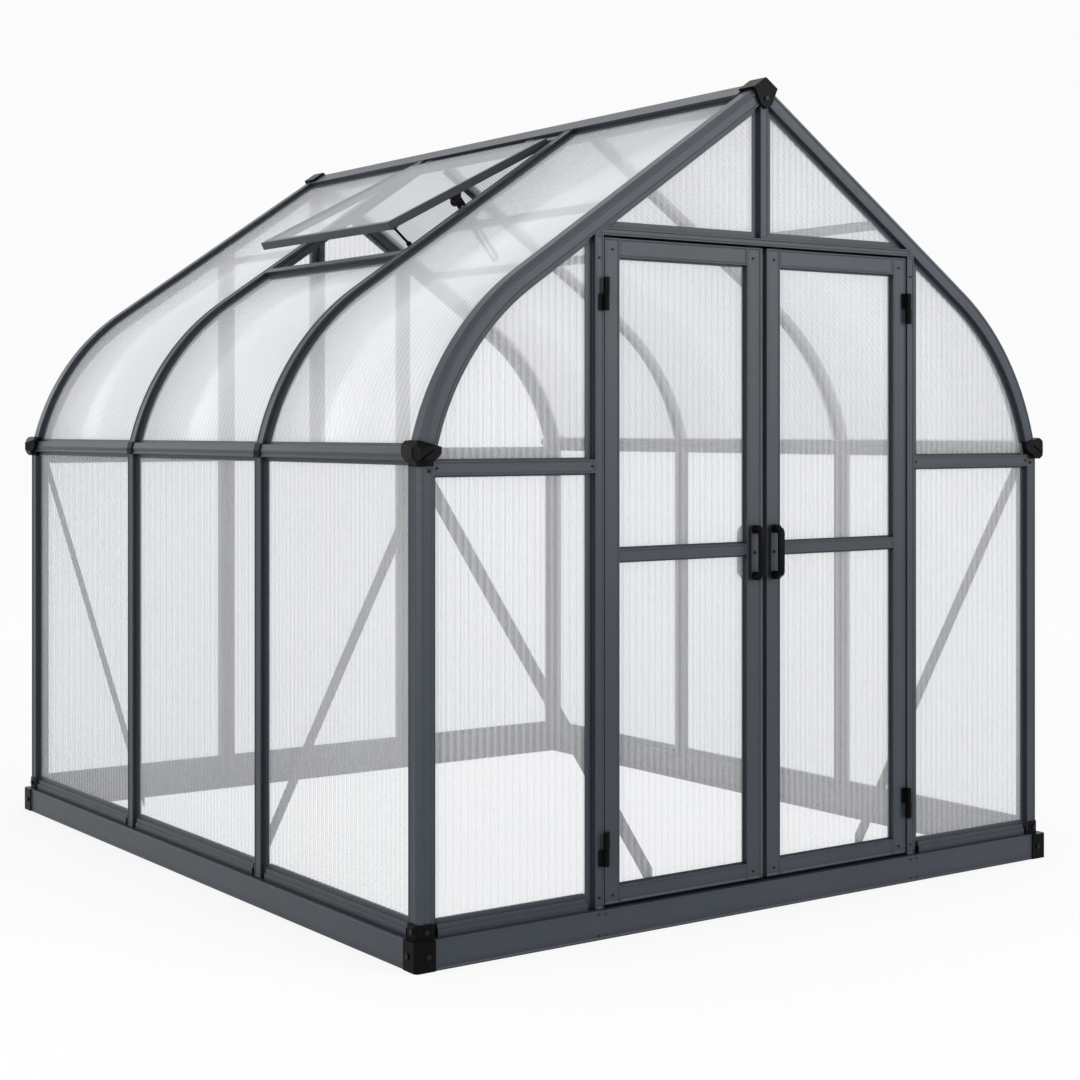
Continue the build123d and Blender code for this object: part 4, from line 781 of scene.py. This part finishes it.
jamb_low, jamb_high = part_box("door_jambs")
base_low, base_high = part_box("base_rails_end")
jamb_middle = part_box("door_right_stiles")[1].x + jamb_offset
for x in (-jamb_middle, jamb_middle):
    for z in (jamb_low.z + jamb_rise, jamb_high.z - jamb_drop):
        screws["frame"].append((Vector((x, wall_front, z)), front, small_screw))
    for z in (base_low.z + base_rise, base_high.z - base_drop):
        for step in (-base_step, base_step):
            screws["frame"].append((Vector((x + step, base_low.y, z)), front, base_screw))

for side in ("left", "right"):
    for group in solids(f"door_{side}_stiles"):
        low, high = span(group)
        x = (low.x + high.x) / 2
        for z in (low.z + stile_rise, high.z - stile_drop):
            screws[f"door_{side}"].append((Vector((x, low.y, z)), front, small_screw))

for body, held in screws.items():
    if not held:
        continue
    bm = bmesh.new()
    for place, normal, radius in held:
        level = normal.cross(up).normalized()
        upright = level.cross(normal)
        rings = []
        for share, rise in head_profile:
            ring = []
            for i in range(head_points):
                turn = 2 * pi * i / head_points
                offset = level * cos(turn) + upright * sin(turn)
                ring.append(place + (offset * share + normal * rise) * radius)
            rings.append(ring)
        skin_rings(bm, rings)
    data = shaded_mesh(bm, f"screws_{body}", dark, round_crease)
    place_mesh(data, f"screws_{body}", body)

# Black rubber seals in the gaps around the doors, which also darken the gaps as painted shade
seal_width = 0.009
seal_gap = 0.0003
stop_depth = 0.003
jamb_overlap = 0.004
header_overlap = 0.011
sill_inset = 0.008
nose_angles = (30, 60, 90, 120, 150)


def bulb(width, height):
    """Section of a seal with a round nose, as (across, towards the door)."""
    half_width, half_height = width / 2, height / 2
    nose = [
        (half_width + half_width * cos(radians(a)), half_height + half_height * sin(radians(a)))
        for a in nose_angles
    ]
    return [(0, 0), (width, 0), (width, half_height), *nose, (0, half_height)]


def seal(bm, start, end, across, towards, height):
    """Seal from start to end, with its width along across."""
    section = bulb(seal_width, height)
    skin_rings(bm, [[place + across * u + towards * v for u, v in section] for place in (start, end)])


door_low, door_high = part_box("door_left_stiles")
door_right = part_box("door_right_stiles")[1].x
seal_y = door_high.y + stop_depth
seal_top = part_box("door_header")[0].z + header_overlap
seal_height = stop_depth - seal_gap
bm = bmesh.new()
for x, inward in ((door_low.x - jamb_overlap, right), (door_right + jamb_overlap, left)):
    foot = Vector((x, seal_y, door_low.z))
    head = Vector((x, seal_y, door_high.z))
    seal(bm, foot, head, inward, front, seal_height)
left_end = Vector((door_low.x + seal_width, seal_y, seal_top))
right_end = Vector((door_right - seal_width, seal_y, seal_top))
seal(bm, left_end, right_end, down, front, seal_height)
sill_left = Vector((door_low.x, door_low.y + sill_inset, base_high.z))
sill_right = Vector((door_right, door_low.y + sill_inset, base_high.z))
seal(bm, sill_left, sill_right, rear, up, door_low.z - base_high.z - seal_gap)
data = shaded_mesh(bm, "door_seals_and_gap_shade", rubber_and_gap_shade, round_crease)
place_mesh(data, "door_seals_and_gap_shade", "frame")

# Stage
scene = bpy.context.scene
scene.view_settings.view_transform = "Standard"
scene.cycles.transparent_max_bounces = 48


def seen_directly(tree):
    """One for camera, mirror and see-through rays, zero for other light."""
    path = tree.nodes.new("ShaderNodeLightPath")
    seen = path.outputs["Is Camera Ray"]
    for name in ("Is Glossy Ray", "Is Transmission Ray"):
        most = tree.nodes.new("ShaderNodeMath")
        most.operation = "MAXIMUM"
        tree.links.new(seen, most.inputs[0])
        tree.links.new(path.outputs[name], most.inputs[1])
        seen = most.outputs["Value"]
    return seen


near_white = 0.8             # the rest is plain floor, which keeps the shadow
far_white = 0.95
shadow_reach = 7.0
floor_half = 30
floor_grey = 0.86
world_white = 0.965
world_light = 0.5
floor_mesh = bpy.data.meshes.new("floor")
floor_corners = [(x * floor_half, y * floor_half, 0) for x, y in ((-1, -1), (1, -1), (1, 1), (-1, 1))]
floor_mesh.from_pydata(floor_corners, [], [[0, 1, 2, 3]])
floor = bpy.data.objects.new("floor", floor_mesh)
scene.collection.objects.link(floor)
floor_mat, tree, shader = new_material("floor")
shader.inputs["Base Color"].default_value = (floor_grey, floor_grey, floor_grey, 1)
shader.inputs["Roughness"].default_value = 0.9
shader.inputs["Specular IOR Level"].default_value = 0.0
glow = tree.nodes.new("ShaderNodeEmission")
glow.inputs["Color"].default_value = (1, 1, 1, 1)
glow.inputs["Strength"].default_value = 1.0
place = tree.nodes.new("ShaderNodeTexCoord")
shrink = tree.nodes.new("ShaderNodeMapping")
shrink.inputs["Scale"].default_value = (1 / shadow_reach, 1 / shadow_reach, 1 / shadow_reach)
tree.links.new(place.outputs["Object"], shrink.inputs["Vector"])
nearness = tree.nodes.new("ShaderNodeTexGradient")
nearness.gradient_type = "SPHERICAL"
tree.links.new(shrink.outputs["Vector"], nearness.inputs["Vector"])
share = tree.nodes.new("ShaderNodeMath")
share.operation = "MULTIPLY"
tree.links.new(seen_directly(tree), share.inputs[0])
tree.links.new(spread(tree, nearness.outputs["Fac"], far_white, near_white), share.inputs[1])
mix = tree.nodes.new("ShaderNodeMixShader")
tree.links.new(share.outputs["Value"], mix.inputs["Fac"])
tree.links.new(shader.outputs["BSDF"], mix.inputs[1])
tree.links.new(glow.outputs["Emission"], mix.inputs[2])
tree.links.new(mix.outputs["Shader"], tree.nodes["Material Output"].inputs["Surface"])
floor_mesh.materials.append(floor_mat)

world = bpy.data.worlds.new("studio")
scene.world = world
world.use_nodes = True
tree = world.node_tree
soft = tree.nodes["Background"]
soft.inputs["Color"].default_value = (0.97, 0.98, 1.0, 1)
soft.inputs["Strength"].default_value = world_light
white = tree.nodes.new("ShaderNodeBackground")
white.inputs["Color"].default_value = (1, 1, 1, 1)
white.inputs["Strength"].default_value = world_white
mix = tree.nodes.new("ShaderNodeMixShader")
tree.links.new(seen_directly(tree), mix.inputs["Fac"])
tree.links.new(soft.outputs["Background"], mix.inputs[1])
tree.links.new(white.outputs["Background"], mix.inputs[2])
tree.links.new(mix.outputs["Shader"], tree.nodes["World Output"].inputs["Surface"])


def area_light(name, place, target, size, power):
    """Soft box at a place, turned to a target."""
    data = bpy.data.lights.new(name, "AREA")
    data.shape = "RECTANGLE"
    data.size, data.size_y = size
    data.energy = power
    obj = bpy.data.objects.new(name, data)
    obj.location = place
    obj.rotation_euler = (Vector(target) - Vector(place)).to_track_quat("-Z", "Y").to_euler()
    scene.collection.objects.link(obj)


area_light("key", (-6.5, -2.2, 5.4), (0, 0, 1.0), (4, 4), 140)
area_light("fill", (3.6, -7.0, 3.0), (0, 0, 0.9), (5, 4), 260)
area_light("top", (0.5, 0.5, 7.5), (0, 0, 1.0), (6, 6), 190)
area_light("edge", (-7.0, -4.6, 2.0), (-1, -1, 1.2), (1.8, 3), 140)
area_light("sheen", (-3.6, 7.4, 3.4), (-1, 0, 1.4), (5, 2), 40)

# Camera, fitted to the corners of the frame in the photograph
camera = bpy.data.cameras.new("camera")
camera.sensor_width = 36.0
camera.lens = 65.92
camera.shift_y = -0.1031
camera.clip_end = 200
view = bpy.data.objects.new("camera", camera)
view.location = (-3.6908, -5.3979, 1.3309)
view.rotation_euler = (radians(90), 0, radians(-35.403))
scene.collection.objects.link(view)
scene.camera = view
